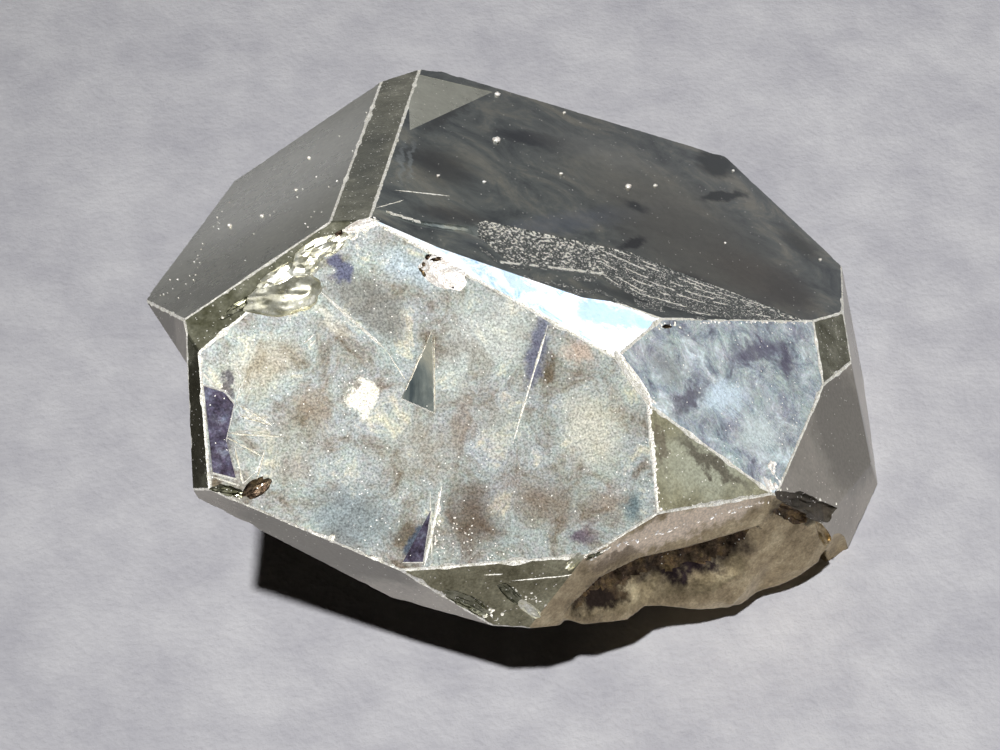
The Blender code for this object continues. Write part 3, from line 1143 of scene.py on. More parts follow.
@dataclass(frozen=True)
class WornEdges:
    """A crushed, beaded strip along every edge of the crystal.

    Attributes:
        width: How far the strip reaches onto each face, in millimetres.
        pitch: Spacing of its beads.
        wander: How far its rims stray.
        nick: How deep its rare nicks are.
        sink: How far its middle sinks.
        beads: How many waves of the broad and the fine roughness go into a millimetre.
        nicks: How many waves of the nicking go into a millimetre.
        nick_level: The level of that waving above which an edge is nicked.
        nick_rise: How fast a nick deepens above it.
    """

    width: float = 0.036
    pitch: float = 0.065
    wander: float = 0.016
    nick: float = 0.075
    sink: float = 0.012
    beads: tuple[float, float] = (9.0, 23.0)
    nicks: float = 2.1
    nick_level: float = 0.24
    nick_rise: float = 2.2

    def wear(self, body: bpy.types.Object) -> None:
        """Bevel the edges, divide the strips along their length and roughen them.

        Args:
            body: The faceted crystal, in millimetres.
        """
        make_active(body)
        bpy.ops.object.mode_set(mode="EDIT")
        bpy.ops.mesh.select_all(action="SELECT")
        bpy.ops.mesh.bevel(
            offset=self.width, segments=2, profile=0.5, affect="EDGES", clamp_overlap=False,
            material=Skin.EDGE.value, offset_type="OFFSET",
        )
        bpy.ops.object.mode_set(mode="OBJECT")
        work = bmesh.new()
        work.from_mesh(body.data)
        bmesh.ops.remove_doubles(work, verts=work.verts, dist=1e-4)
        self._leave_plain(work)
        self._divide(work)
        self._roughen(work)
        work.to_mesh(body.data)
        work.free()

    def _leave_plain(self, work: bmesh.types.BMesh) -> None:
        """Keep an edge between two faces of one finish uncrushed, in that finish.

        Args:
            work: The bevelled crystal.
        """
        crushed = Skin.EDGE.value
        plain = []
        for strip in [f for f in work.faces if f.material_index == crushed and len(f.verts) == 4]:
            reach = 0.8 * max(e.calc_length() for e in strip.edges)
            sides = []
            for edge in [e for e in strip.edges if e.calc_length() > reach]:
                across = next((f for f in edge.link_faces if f is not strip), strip)
                if across.material_index == crushed and len(across.verts) == 4:
                    others = [e for e in across.edges if e is not edge]
                    far = max(others, key=lambda e: e.calc_length())
                    across = next((f for f in far.link_faces if f is not across), across)
                sides.append(across.material_index)
            if len(sides) == 2 and sides[0] == sides[1] != crushed:
                plain.append((strip, sides[0]))
        for strip, skin in plain:
            strip.material_index = skin

    def _divide(self, work: bmesh.types.BMesh) -> None:
        """Divide each strip's long edges alike and join them across.

        Args:
            work: The bevelled crystal.
        """
        strips = [f for f in work.faces if f.material_index == Skin.EDGE.value and len(f.verts) == 4]
        pairs = []
        counts: dict[bmesh.types.BMEdge, int] = {}
        for strip in strips:
            edges = list(strip.edges)
            first, second = (edges[0], edges[2]), (edges[1], edges[3])
            pair = max(second, first, key=lambda p: p[0].calc_length() + p[1].calc_length())
            if max(e.calc_length() for e in pair) < 2.0 * self.pitch:
                continue
            pairs.append((strip, pair))
        for _ in range(3):
            for _strip, (one, other) in pairs:
                most = max(counts.get(e, int(e.calc_length() / self.pitch)) for e in (one, other))
                counts[one] = counts[other] = most
        lines: dict[bmesh.types.BMEdge, list[bmesh.types.BMVert]] = {}
        ends = {edge: (edge.verts[0], edge.verts[1]) for edge in counts}
        for edge, count in counts.items():
            start, stop = ends[edge]
            line = [start]
            rest = edge
            for number in range(count, 0, -1):
                rest_start = line[-1]
                _, vert = bmesh.utils.edge_split(rest, rest_start, 1.0 / (number + 1))
                rest = next(e for e in vert.link_edges if rest_start not in e.verts)
                line.append(vert)
            lines[edge] = line + [stop]
        for strip, (one, other) in pairs:
            near, far = lines[one], lines[other]
            if (near[0].co - far[0].co).length > (near[0].co - far[-1].co).length:
                far = far[::-1]
            for a, b in zip(near[1:-1], far[1:-1]):
                shared = [f for f in a.link_faces if f in b.link_faces]
                if shared:
                    bmesh.utils.face_split(shared[0], a, b)

    def _roughen(self, work: bmesh.types.BMesh) -> None:
        """Move rim vertices within their flat face, and sink the middle ones.

        Args:
            work: The bevelled crystal.
        """
        work.normal_update()
        moves = []
        for vert in work.verts:
            flats = [f for f in vert.link_faces if f.material_index != Skin.EDGE.value]
            strips = [f for f in vert.link_faces if f.material_index == Skin.EDGE.value]
            if not strips or len(flats) > 1:
                continue
            broad, fine = (noise.noise(vert.co * waves) for waves in self.beads)
            rough = broad + 0.6 * fine
            chance = noise.noise(vert.co * self.nicks + Vector((7.0, 3.0, 1.0)))
            nick = max(0.0, chance - self.nick_level) * self.nick_rise
            if len(flats) == 1:
                rim = [e for e in vert.link_edges if flats[0] in e.link_faces]
                if len(rim) != 2:
                    continue
                run = (rim[0].other_vert(vert).co - rim[1].other_vert(vert).co).normalized()
                inward = flats[0].normal.cross(run)
                middle = sum((f.calc_center_median() for f in strips), Vector()) / len(strips)
                if inward.dot(middle - vert.co) > 0.0:
                    inward.negate()
                moves.append((vert, inward * (self.wander * rough + self.nick * nick)))
            else:
                normal = sum((f.normal for f in strips), Vector()).normalized()
                moves.append((vert, -normal * (self.sink * (1.0 + rough) + 0.5 * self.nick * nick)))
        for vert, move in moves:
            vert.co += move


# ---------------------------------------------------------------------- cutters


@dataclass(frozen=True)
class Step:
    """A low-sided area sunk in a face: growth steps, etched triangles and slots.

    Attributes:
        face: The face that it is in.
        outline: Its corners, as the front camera sees them.
        depth: How deep its floor is, in millimetres.
        skin: The floor's finish.
        wall: How far the sloping side spreads, in millimetres.
        side: The sloping side's finish.
    """

    face: Face
    outline: tuple[Spot, ...]
    depth: float
    skin: Skin
    wall: float = 0.045
    side: Skin = Skin.EDGE


@dataclass(frozen=True)
class Line:
    """A fine bright step line across a face.

    Attributes:
        face: The face that it is on.
        start: One end, in the front view.
        stop: The other end.
        width: Its width, in millimetres.
        depth: Its depth, in millimetres.
        skin: Its finish.
    """

    face: Face
    start: Spot
    stop: Spot
    width: float = 0.040
    depth: float = 0.016
    skin: Skin = Skin.EDGE


@dataclass(frozen=True)
class Chip:
    """A conchoidal chip: a shell-shaped bite.

    Attributes:
        face: The face that it dips under.
        start: One end of its long way, in the front view.
        stop: The other end.
        across: Half its width, in millimetres.
        deep: Half its thickness, in millimetres.
        lift: How far its middle stands above the face, in millimetres.
        skin: The break's finish.
        rough: How uneven it is.
        ripple: Height of the arcs that spread from where it was struck.
        taper: How far it narrows toward its start, from 0 to 1.
    """

    face: Face
    start: Spot
    stop: Spot
    across: float
    deep: float
    lift: float = 0.0
    skin: Skin = Skin.CHIP
    rough: float = 0.16
    ripple: float = 0.003
    taper: float = 0.0


@dataclass(frozen=True)
class Crumble:
    """A cluster of small bites at a corner or along an edge.

    Attributes:
        face: The face that they are in.
        start: One end of the cluster, in the front view.
        stop: The other end.
        count: How many bites there are.
        size: Their usual radius, in millimetres.
        spread: How far they scatter to the sides, in millimetres.
        skin: Their finish.
    """

    face: Face
    start: Spot
    stop: Spot
    count: int
    size: float
    spread: float
    skin: Skin = Skin.EDGE


@dataclass(frozen=True)
class Ledge:
    """A growth step on a side away from the front.

    Attributes:
        face: The face that it is in.
        at: Its place, in millimetres.
        turn_deg: How far its edge is turned from level.
        size: Its width along its edge and its reach from it, in millimetres.
        depth: Its depth, in millimetres.
        thickness: Thickness of the plate that cuts it.
    """

    face: Face
    at: Triple
    turn_deg: float
    size: Spot
    depth: float
    thickness: float = 0.6


@dataclass(frozen=True)
class Hollow:
    """A rough hollow on a side away from the front, or a corner rounded off.

    Attributes:
        face: The face that it is in.
        at: Its place, in millimetres.
        turn_deg: How far its long way is turned from level.
        half: Its half sizes along, across and into the face, in millimetres.
        lift: How far its middle stands above the face.
        rough: How uneven it is.
        skin: Its finish.
    """

    face: Face
    at: Triple
    turn_deg: float
    half: Triple
    lift: float
    rough: float = 0.22
    skin: Skin = Skin.UNDER


@dataclass(frozen=True)
class Dust:
    """A grain of pale dust on a face.

    Attributes:
        face: The face that it rests on.
        spot: Its place in the front view.
        across_px: Its width in the front view.
    """

    face: Face
    spot: Spot
    across_px: float


@dataclass(frozen=True)
class TipNotch:
    """The re-entrant corner under the left-hand tip, cut by a block.

    Attributes:
        corner: The notch's inner corner, in millimetres.
        outward: The direction that the block grows in from there.
        roof_run: The rough direction of the edge where the notch's two sides meet.
        reach: The side of the block.
    """

    corner: Triple = (-7.3, -5.2, 7.9)
    outward: Triple = (-1.0, 0.05, -0.15)
    roof_run: Triple = (-1.0, 2.7, -1.1)
    reach: float = 12.0

    def build(self) -> bpy.types.Object:
        """Make the block, in millimetres."""
        outward = Vector(self.outward).normalized()
        run = Vector(self.roof_run)
        run = (run - outward * run.dot(outward)).normalized()
        down = outward.cross(run)
        if down.z > 0.0:
            down.negate()
        deselect_all()
        bpy.ops.mesh.primitive_cube_add(size=self.reach)
        block = bpy.context.object
        axes = Matrix((outward, run, down)).transposed().to_4x4()
        middle = Vector(self.corner) + (outward + down) * self.reach / 2.0
        block.data.transform(Matrix.Translation(middle) @ axes)
        for polygon in block.data.polygons:
            polygon.material_index = Skin.SMOOTH.value
        return block


STEPS = (
    Step(Face.FRONT, ((432, 333), (434, 412), (402, 398)), 0.030, Skin.DARK, 0.035),
    Step(
        Face.FRONT, ((204, 386), (224, 392), (234, 404), (226, 440), (236, 478), (213, 472)),
        0.030, Skin.PURPLE,
    ),
    Step(Face.FRONT, ((237, 401), (271, 423), (241, 414)), 0.020, Skin.ETCHED, 0.030),
    Step(Face.FRONT, ((226, 434), (250, 431), (283, 437), (240, 440)), 0.020, Skin.ETCHED, 0.030),
    Step(Face.FRONT, ((226, 436), (262, 456), (238, 446)), 0.020, Skin.ETCHED, 0.030),
    Step(Face.FRONT, ((236, 449), (264, 451), (257, 470), (244, 482)), 0.015, Skin.ETCHED, 0.035),
    Step(Face.FRONT, ((403, 562), (431, 510), (423, 562)), 0.020, Skin.PURPLE, 0.030),
    Step(Face.TOP, ((408, 72), (492, 92), (410, 130)), 0.006, Skin.LEAF, 0.008, Skin.LEAF),
    # Painted shade: this step's dark floor is the shadowed stroke on the lower shield face.
    Step(Face.SHIELD_LOW, ((688, 424), (712, 434), (742, 464), (722, 452)), 0.015, Skin.PURPLE, 0.02),
)

LINES = (
    Line(Face.FRONT, (321, 292), (386, 350), 0.060),
    Line(Face.FRONT, (386, 350), (406, 380), 0.028),
    Line(Face.FRONT, (548, 325), (512, 445), 0.045),
    Line(Face.FRONT, (200, 370), (218, 390), 0.045),
    Line(Face.FRONT, (442, 486), (424, 566), 0.07),
    Line(Face.FRONT, (214, 477), (240, 486), 0.045),
    Line(Face.FRONT, (432, 331), (402, 399), 0.055, 0.05),
    Line(Face.FRONT, (434, 334), (435, 412), 0.035, 0.05),
    Line(Face.FRONT, (236, 403), (272, 425), 0.06, 0.05),
    Line(Face.FRONT, (240, 416), (270, 425), 0.035, 0.05),
    Line(Face.FRONT, (226, 433), (284, 437), 0.065, 0.05),
    Line(Face.FRONT, (226, 437), (264, 457), 0.05, 0.05),
    Line(Face.FRONT, (235, 448), (243, 484), 0.045, 0.05),
    Line(Face.FRONT, (265, 452), (256, 482), 0.035, 0.05),
    Line(Face.FRONT, (236, 366), (242, 381), 0.035),
    Line(Face.FRONT, (242, 381), (236, 402), 0.030),
    Line(Face.FRONT, (430, 490), (432, 560), 0.03),
    Line(Face.FRONT, (304, 344), (314, 334), 0.05),
    Line(Face.FRONT, (308, 348), (316, 340), 0.04),
    Line(Face.LOWER, (512, 581), (580, 574), 0.035),
    Line(Face.LOWER, (484, 575), (503, 574), 0.035),
    Line(Face.TOP, (395, 190), (450, 196), 0.045),
    Line(Face.TOP, (376, 208), (404, 200), 0.030),
)

CHIPS = (
    Chip(Face.FRONT, (240, 304), (324, 286), 0.54, 0.34, 0.05, rough=0.12, ripple=0.0, taper=0.35),
    Chip(Face.FRONT, (286, 276), (324, 252), 0.30, 0.24, 0.04, rough=0.26),
    Chip(Face.LEFT_BEVEL, (258, 288), (298, 264), 0.22, 0.18, 0.03, rough=0.3),
    Chip(Face.LEFT_BEVEL, (292, 264), (338, 236), 0.22, 0.18, 0.03, rough=0.34),
    Chip(Face.FRONT, (316, 256), (348, 232), 0.22, 0.18, 0.03, Skin.CHIP, 0.34),
    Chip(Face.FRONT, (330, 240), (344, 230), 0.08, 0.12, 0.01, Skin.HOLLOW, 0.3),
    Chip(Face.FRONT, (340, 232), (380, 219), 0.14, 0.10, 0.03, Skin.CRUST, 0.3),
    Chip(Face.LEFT_BEVEL, (222, 318), (252, 298), 0.14, 0.08, 0.03, Skin.OLIVE, 0.4),
    Chip(Face.FRONT, (420, 264), (470, 280), 0.38, 0.14, 0.03, Skin.CRUST, 0.34),
    Chip(Face.FRONT, (428, 260), (444, 258), 0.06, 0.10, 0.01, Skin.HOLLOW, 0.3),
    Chip(Face.FRONT, (242, 498), (270, 478), 0.17, 0.10, 0.02, Skin.HOLLOW, 0.30),
    Chip(Face.FRONT, (210, 488), (246, 494), 0.12, 0.10, 0.02, Skin.OLIVE, 0.45),
    Chip(Face.LOWER, (444, 592), (490, 614), 0.20, 0.16, 0.03, Skin.OLIVE, 0.2),
    Chip(Face.LOWER, (498, 582), (522, 604), 0.14, 0.10, 0.02, Skin.OLIVE, 0.3),
    Chip(Face.LOWER, (516, 600), (542, 618), 0.14, 0.10, 0.02, Skin.CHIP, 0.3),
    Chip(Face.LOWER, (566, 570), (584, 552), 0.12, 0.12, 0.02, Skin.CHIP, 0.4),
    Chip(Face.SHIELD_TOP, (662, 327), (672, 326), 0.05, 0.08, 0.01, Skin.HOLLOW, 0.4),
    Chip(Face.SHIELD_TOP, (610, 346), (650, 404), 0.24, 0.12, 0.05, Skin.EDGE, 0.3),
    Chip(Face.SHIELD_LOW, (760, 466), (780, 494), 0.20, 0.14, 0.04, Skin.CRUST, 0.4),
    Chip(Face.SHOULDER, (780, 498), (836, 514), 0.30, 0.20, 0.03, Skin.UNDER, 0.5),
    Chip(Face.STRIP, (776, 508), (806, 520), 0.22, 0.16, 0.02, Skin.HOLLOW, 0.5),
    Chip(Face.CONTACT_RIGHT, (816, 522), (832, 546), 0.16, 0.20, 0.02, Skin.CONTACT, 0.5),
    Chip(Face.STRIP, (584, 562), (604, 552), 0.12, 0.10, 0.03, Skin.OLIVE, 0.45),
)

CRUMBLES = (
    Crumble(Face.FRONT, (332, 236), (378, 218), 44, 0.070, 0.18, Skin.EDGE),
    Crumble(Face.BRIGHT, (340, 226), (380, 216), 20, 0.050, 0.12, Skin.CRUST),
    Crumble(Face.FRONT, (262, 300), (340, 240), 30, 0.045, 0.12),
    Crumble(Face.LEFT_BEVEL, (220, 322), (335, 232), 34, 0.038, 0.06),
    Crumble(Face.SHIELD_TOP, (618, 352), (652, 404), 60, 0.052, 0.12, Skin.CRUST),
    Crumble(Face.SHIELD_LOW, (650, 404), (659, 516), 54, 0.040, 0.06, Skin.CRUST),
    Crumble(Face.SHIELD_LOW, (812, 420), (772, 470), 30, 0.032, 0.05),
    Crumble(Face.STRIP, (572, 566), (612, 548), 40, 0.050, 0.14),
    Crumble(Face.STRIP, (616, 546), (770, 500), 70, 0.036, 0.06, Skin.CRUST),
    Crumble(Face.SHIELD_TOP, (655, 326), (678, 322), 16, 0.040, 0.08),
    Crumble(Face.SHIELD_TOP, (680, 322), (812, 322), 60, 0.030, 0.04, Skin.CRUST),
    Crumble(Face.FRONT, (636, 534), (660, 516), 16, 0.045, 0.08, Skin.CRUST),
    Crumble(Face.SHOULDER, (780, 492), (838, 508), 30, 0.070, 0.14, Skin.EDGE),
    Crumble(Face.FRONT, (444, 530), (508, 560), 60, 0.022, 0.50, Skin.CRUST),
    Crumble(Face.FRONT, (440, 490), (436, 556), 34, 0.028, 0.08, Skin.CRUST),
    Crumble(Face.FRONT, (348, 382), (374, 410), 40, 0.026, 0.45, Skin.CRUST),
    Crumble(Face.FRONT, (430, 262), (464, 282), 30, 0.035, 0.20, Skin.CRUST),
    Crumble(Face.FRONT, (421, 276), (430, 256), 9, 0.070, 0.06, Skin.HOLLOW),
    Crumble(Face.FRONT, (430, 256), (462, 262), 9, 0.070, 0.06, Skin.HOLLOW),
    Crumble(Face.FRONT, (468, 270), (452, 288), 10, 0.070, 0.07, Skin.HOLLOW),
    Crumble(Face.FRONT, (246, 508), (398, 570), 80, 0.075, 0.08, Skin.EDGE),
    Crumble(Face.SHIELD_TOP, (770, 462), (782, 492), 30, 0.060, 0.20, Skin.CRUST),
    Crumble(Face.FRONT, (196, 486), (240, 502), 26, 0.045, 0.10),
    Crumble(Face.LOWER, (446, 600), (500, 618), 34, 0.040, 0.14),
    Crumble(Face.LOWER, (504, 586), (560, 608), 34, 0.034, 0.14),
    Crumble(Face.FRONT, (382, 226), (470, 270), 44, 0.060, 0.05, Skin.EDGE),
    Crumble(Face.FRONT, (470, 272), (612, 354), 60, 0.050, 0.05, Skin.EDGE),
)

LEDGES = (
    Ledge(Face.BACK, (0.5, 7.6, 0.8), 8.0, (6.0, 0.9), 0.12),
    Ledge(Face.BACK, (-2.4, 7.0, 2.2), 8.0, (3.2, 0.8), 0.18),
    Ledge(Face.UNDER_LEFT, (-4.6, 1.6, 2.6), 35.0, (4.4, 1.7), 0.14),
    Ledge(Face.UNDER_LEFT, (-4.9, 2.2, 2.9), 35.0, (2.4, 0.9), 0.24),
    Ledge(Face.UNDER_FRONT, (-5.0, -3.6, 3.4), 25.0, (2.8, 0.8), 0.12),
)

HOLLOWS = (
    Hollow(Face.REST, (8.56, -5.50, 0.0), 0.0, (2.0, 2.0, 2.0), -0.3, 0.04, Skin.CONTACT),
    Hollow(Face.UNDER_FRONT, (-4.2, -4.2, 3.0), 25.0, (1.6, 0.9, 0.4), 0.10),
    Hollow(Face.BACK, (2.4, 7.2, 2.0), 12.0, (1.5, 0.7, 0.4), 0.12),
    Hollow(Face.REST, (0.4, 1.6, 0.0), 20.0, (2.6, 1.5, 0.42), 0.05),
    Hollow(Face.REST, (4.3, 3.4, 0.0), 70.0, (1.7, 0.9, 0.34), 0.05),
    Hollow(Face.REST, (2.8, -1.9, 0.0), -10.0, (1.9, 0.9, 0.36), 0.05),
    Hollow(Face.REST, (5.6, -0.4, 0.0), 40.0, (1.2, 0.8, 0.26), 0.05),
    Hollow(Face.REST, (0.6, 5.1, 0.0), 0.0, (1.3, 0.7, 0.30), 0.05),
)

DUST = (
    Dust(Face.TOP, (497, 95), 7.0),
    Dust(Face.TOP, (496, 141), 9.0),
    Dust(Face.TOP, (561, 174), 4.0),
    Dust(Face.TOP, (628, 187), 7.0),
    Dust(Face.TOP, (655, 186), 5.0),
    Dust(Face.TOP, (725, 243), 3.0),
    Dust(Face.TOP, (484, 182), 4.0),
    Dust(Face.TOP, (438, 176), 4.0),
    Dust(Face.TOP, (564, 113), 4.0),
    Dust(Face.TOP, (733, 171), 4.0),
    Dust(Face.TOP, (820, 260), 4.0),
    Dust(Face.LEFT, (230, 226), 5.0),
    Dust(Face.LEFT, (262, 216), 4.0),
    Dust(Face.LEFT, (309, 158), 4.0),
    Dust(Face.LEFT, (296, 190), 3.5),
)

# The two triangles of the left face, in the front view, that fine dust lies on.
DUSTY_AREAS = (
    ((186, 308), (372, 96), (330, 222)),
    ((158, 296), (240, 186), (186, 308)),
)


@dataclass
class Cutters:
    """Makes the solids that are taken out of the crystal.

    Attributes:
        planes: The crystal's faces, in millimetres.
        camera: The camera whose view gives the places on them.
        step_clear: How far a step's cutter stands above the face.
        line_clear: How far a line's cutter does.
        line_pitch: Spacing of the points along a line.
        line_waver: How far a line strays from straight.
        splintered_from: The unevenness from which a chip breaks into flat splinters.
        broad_balls: The half lengths for which a smooth ball is more finely divided.
        melt: How coarsely a cluster's bites are melted, as a share of their size.
        chance: The random draws.
    """

    planes: dict[Face, Plane]
    camera: FrontCamera
    step_clear: float = 0.05
    line_clear: float = 0.03
    line_pitch: float = 0.10
    line_waver: float = 0.012
    splintered_from: float = 0.25
    broad_balls: tuple[float, float] = (0.5, 1.1)
    melt: float = 0.42
    chance: random.Random = field(default_factory=lambda: random.Random(11))

    def _finish(self, work: bmesh.types.BMesh, name: str) -> bpy.types.Object:
        """Turn a mesh being built into an object with its faces looking outward.

        Args:
            work: The mesh being built.
            name: What the object is called.

        Returns:
            The object.
        """
        bmesh.ops.recalc_face_normals(work, faces=work.faces[:])
        mesh = bpy.data.meshes.new(name)
        work.to_mesh(mesh)
        work.free()
        item = bpy.data.objects.new(name, mesh)
        bpy.context.scene.collection.objects.link(item)
        return item

    def step(self, step: Step) -> bpy.types.Object:
        """A shallow block with sloping sides, for one sunk area.

        Args:
            step: The sunk area.

        Returns:
            The block.
        """
        plane = self.planes[step.face]
        corners = [self.camera.on_plane(spot, plane) for spot in step.outline]
        middle = sum(corners, Vector()) / len(corners)
        work = bmesh.new()
        floor, rim = [], []
        for corner in corners:
            outward = (corner - middle).normalized()
            floor.append(work.verts.new(corner - plane.normal * step.depth))
            spread = step.wall * (1.0 + self.step_clear / step.depth)
            rim.append(work.verts.new(corner + outward * spread + plane.normal * self.step_clear))
        work.faces.new(floor).material_index = step.skin.value
        work.faces.new(rim[::-1]).material_index = step.side.value
        for number in range(len(corners)):
            after = (number + 1) % len(corners)
            wall = work.faces.new((floor[number], floor[after], rim[after], rim[number]))
            wall.material_index = step.side.value
        return self._finish(work, "step")

    def line(self, line: Line) -> bpy.types.Object:
        """A thin V-sided slot for one step line.

        Args:
            line: The step line.

        Returns:
            The slot's solid.
        """
        plane = self.planes[line.face]
        start, stop = (self.camera.on_plane(spot, plane) for spot in (line.start, line.stop))
        across = plane.normal.cross((stop - start).normalized())
        side = across * line.width / 2.0
        wide = 1.0 + self.line_clear / line.depth
        work = bmesh.new()
        count = max(3, int((stop - start).length / self.line_pitch))
        rows = []
        for number in range(count + 1):
            share = number / count
            at = start.lerp(stop, share)
            waver = across * self.line_waver * noise.noise(at * 5.0)
            taper = max(0.15, min(1.0, 6.0 * share, 6.0 * (1.0 - share)))
            swell = taper * (1.0 + 0.8 * noise.noise(at * 11.0))
            top = plane.normal * self.line_clear * swell
            low = work.verts.new(at + waver - plane.normal * line.depth * swell)
            left = work.verts.new(at + waver + side * wide * swell + top)
            right = work.verts.new(at + waver - side * wide * swell + top)
            rows.append((low, left, right))
        for (a, b, c), (d, e, f) in zip(rows, rows[1:]):
            for quad in ((a, b, e, d), (b, c, f, e), (c, a, d, f)):
                work.faces.new(quad)
        work.faces.new(rows[0])
        work.faces.new(rows[-1][::-1])
        for polygon in work.faces:
            polygon.material_index = line.skin.value
        return self._finish(work, "line")

    def _ball(
        self, place: Matrix, half: Vector, skin: Skin, rough: float, ripple: float, taper: float = 0.0
    ) -> bpy.types.Object:
        """Make a squashed ball, rippled from one end, or splintered where it is very rough.

        Args:
            place: Its frame, in millimetres.
            half: Its half sizes.
            skin: Its finish.
            rough: How uneven it is.
            ripple: Height of the arcs.
            taper: How far it narrows toward its start, from 0 to 1.

        Returns:
            The ball.
        """
        deselect_all()
        splintered = rough >= self.splintered_from
        broad_ball = self.broad_balls[0] < half.x < self.broad_balls[1]
        detail = 3 if splintered else 5 if broad_ball else 4
        bpy.ops.mesh.primitive_ico_sphere_add(subdivisions=detail, radius=1.0)
        ball = bpy.context.object
        struck = Vector((-1.0, 0.3, 0.4))
        seed = place.translation * 3.0
        for vert in ball.data.vertices:
            broad = noise.noise(vert.co * 1.5 + seed) + 0.5 * noise.noise(vert.co * 3.4 - seed)
            arcs = math.sin(26.0 * (vert.co - struck).length) * ripple
            fine = 0.15 * rough * noise.noise(vert.co * 9.0 + seed)
            narrow = 1.0 - 0.5 * taper * (1.0 - vert.co.x)
            vert.co *= 1.0 + rough * broad + arcs + fine
            vert.co.y *= narrow
        ball.data.transform(place @ Matrix.Diagonal(Vector((*half, 1.0))))
        for polygon in ball.data.polygons:
            polygon.material_index = skin.value
            polygon.use_smooth = not splintered
        return ball

    def chip(self, chip: Chip) -> bpy.types.Object:
        """The ball that takes out one chip.

        Args:
            chip: The chip.

        Returns:
            The ball.
        """
        plane = self.planes[chip.face]
        start, stop = (self.camera.on_plane(spot, plane) for spot in (chip.start, chip.stop))
        place = plane.frame_at((start + stop) / 2.0, stop - start)
        place = place @ Matrix.Translation(Vector((0.0, 0.0, chip.lift)))
        half = Vector(((stop - start).length / 2.0, chip.across, chip.deep))
        return self._ball(place, half, chip.skin, chip.rough, chip.ripple, chip.taper)

    def hollow(self, hollow: Hollow) -> bpy.types.Object:
        """The ball that takes out one hollow.

        Args:
            hollow: The hollow.

        Returns:
            The ball.
        """
        place = self.planes[hollow.face].level_frame(hollow.at, hollow.turn_deg)
        place = place @ Matrix.Translation(Vector((0.0, 0.0, hollow.lift)))
        return self._ball(place, Vector(hollow.half), hollow.skin, hollow.rough, 0.01)

    def ledge(self, ledge: Ledge) -> bpy.types.Object:
        """A plate whose underside lies a little under the face.

        Args:
            ledge: The growth step.

        Returns:
            The plate.
        """
        place = self.planes[ledge.face].level_frame(ledge.at, ledge.turn_deg)
        width, reach = ledge.size
        rise = ledge.thickness / 2.0 - ledge.depth
        place = place @ Matrix.Translation(Vector((0.0, reach / 2.0, rise)))
        work = bmesh.new()
        shape = Matrix.Diagonal(Vector((width, reach, ledge.thickness, 1.0)))
        bmesh.ops.create_cube(work, matrix=place @ shape)
        for polygon in work.faces:
            polygon.material_index = FACE_SKINS[ledge.face].value
        return self._finish(work, "ledge")

    def crumble(self, crumble: Crumble) -> bpy.types.Object:
        """Many small angular bites, melted into one closed solid.

        Args:
            crumble: The cluster.

        Returns:
            The solid.
        """
        plane = self.planes[crumble.face]
        start, stop = (self.camera.on_plane(spot, plane) for spot in (crumble.start, crumble.stop))
        work = bmesh.new()
        side = plane.normal.cross((stop - start).normalized())
        for _ in range(crumble.count):
            at = start.lerp(stop, self.chance.random())
            at += side * self.chance.gauss(0.0, crumble.spread * 0.5)
            size = crumble.size * self.chance.uniform(0.45, 1.25)
            at += plane.normal * size * self.chance.uniform(-0.1, 0.5)
            angle = self.chance.uniform(0.0, math.tau)
            axis = Vector([self.chance.gauss(0.0, 1.0) for _ in range(3)]).normalized()
            length = size * self.chance.uniform(0.7, 1.8)
            width = size * self.chance.uniform(0.6, 1.2)
            shape = Matrix.Diagonal(Vector((length, width, size, 1.0)))
            place = Matrix.Translation(at) @ Matrix.Rotation(angle, 4, axis) @ shape
            bmesh.ops.create_icosphere(work, subdivisions=1, radius=1.0, matrix=place)
        cluster = self._finish(work, "crumble")
        make_active(cluster)
        melt = cluster.modifiers.new("melt", "REMESH")
        melt.mode = "VOXEL"
        melt.voxel_size = crumble.size * self.melt
        bpy.ops.object.modifier_apply(modifier=melt.name)
        for polygon in cluster.data.polygons:
            polygon.material_index = crumble.skin.value
        return cluster


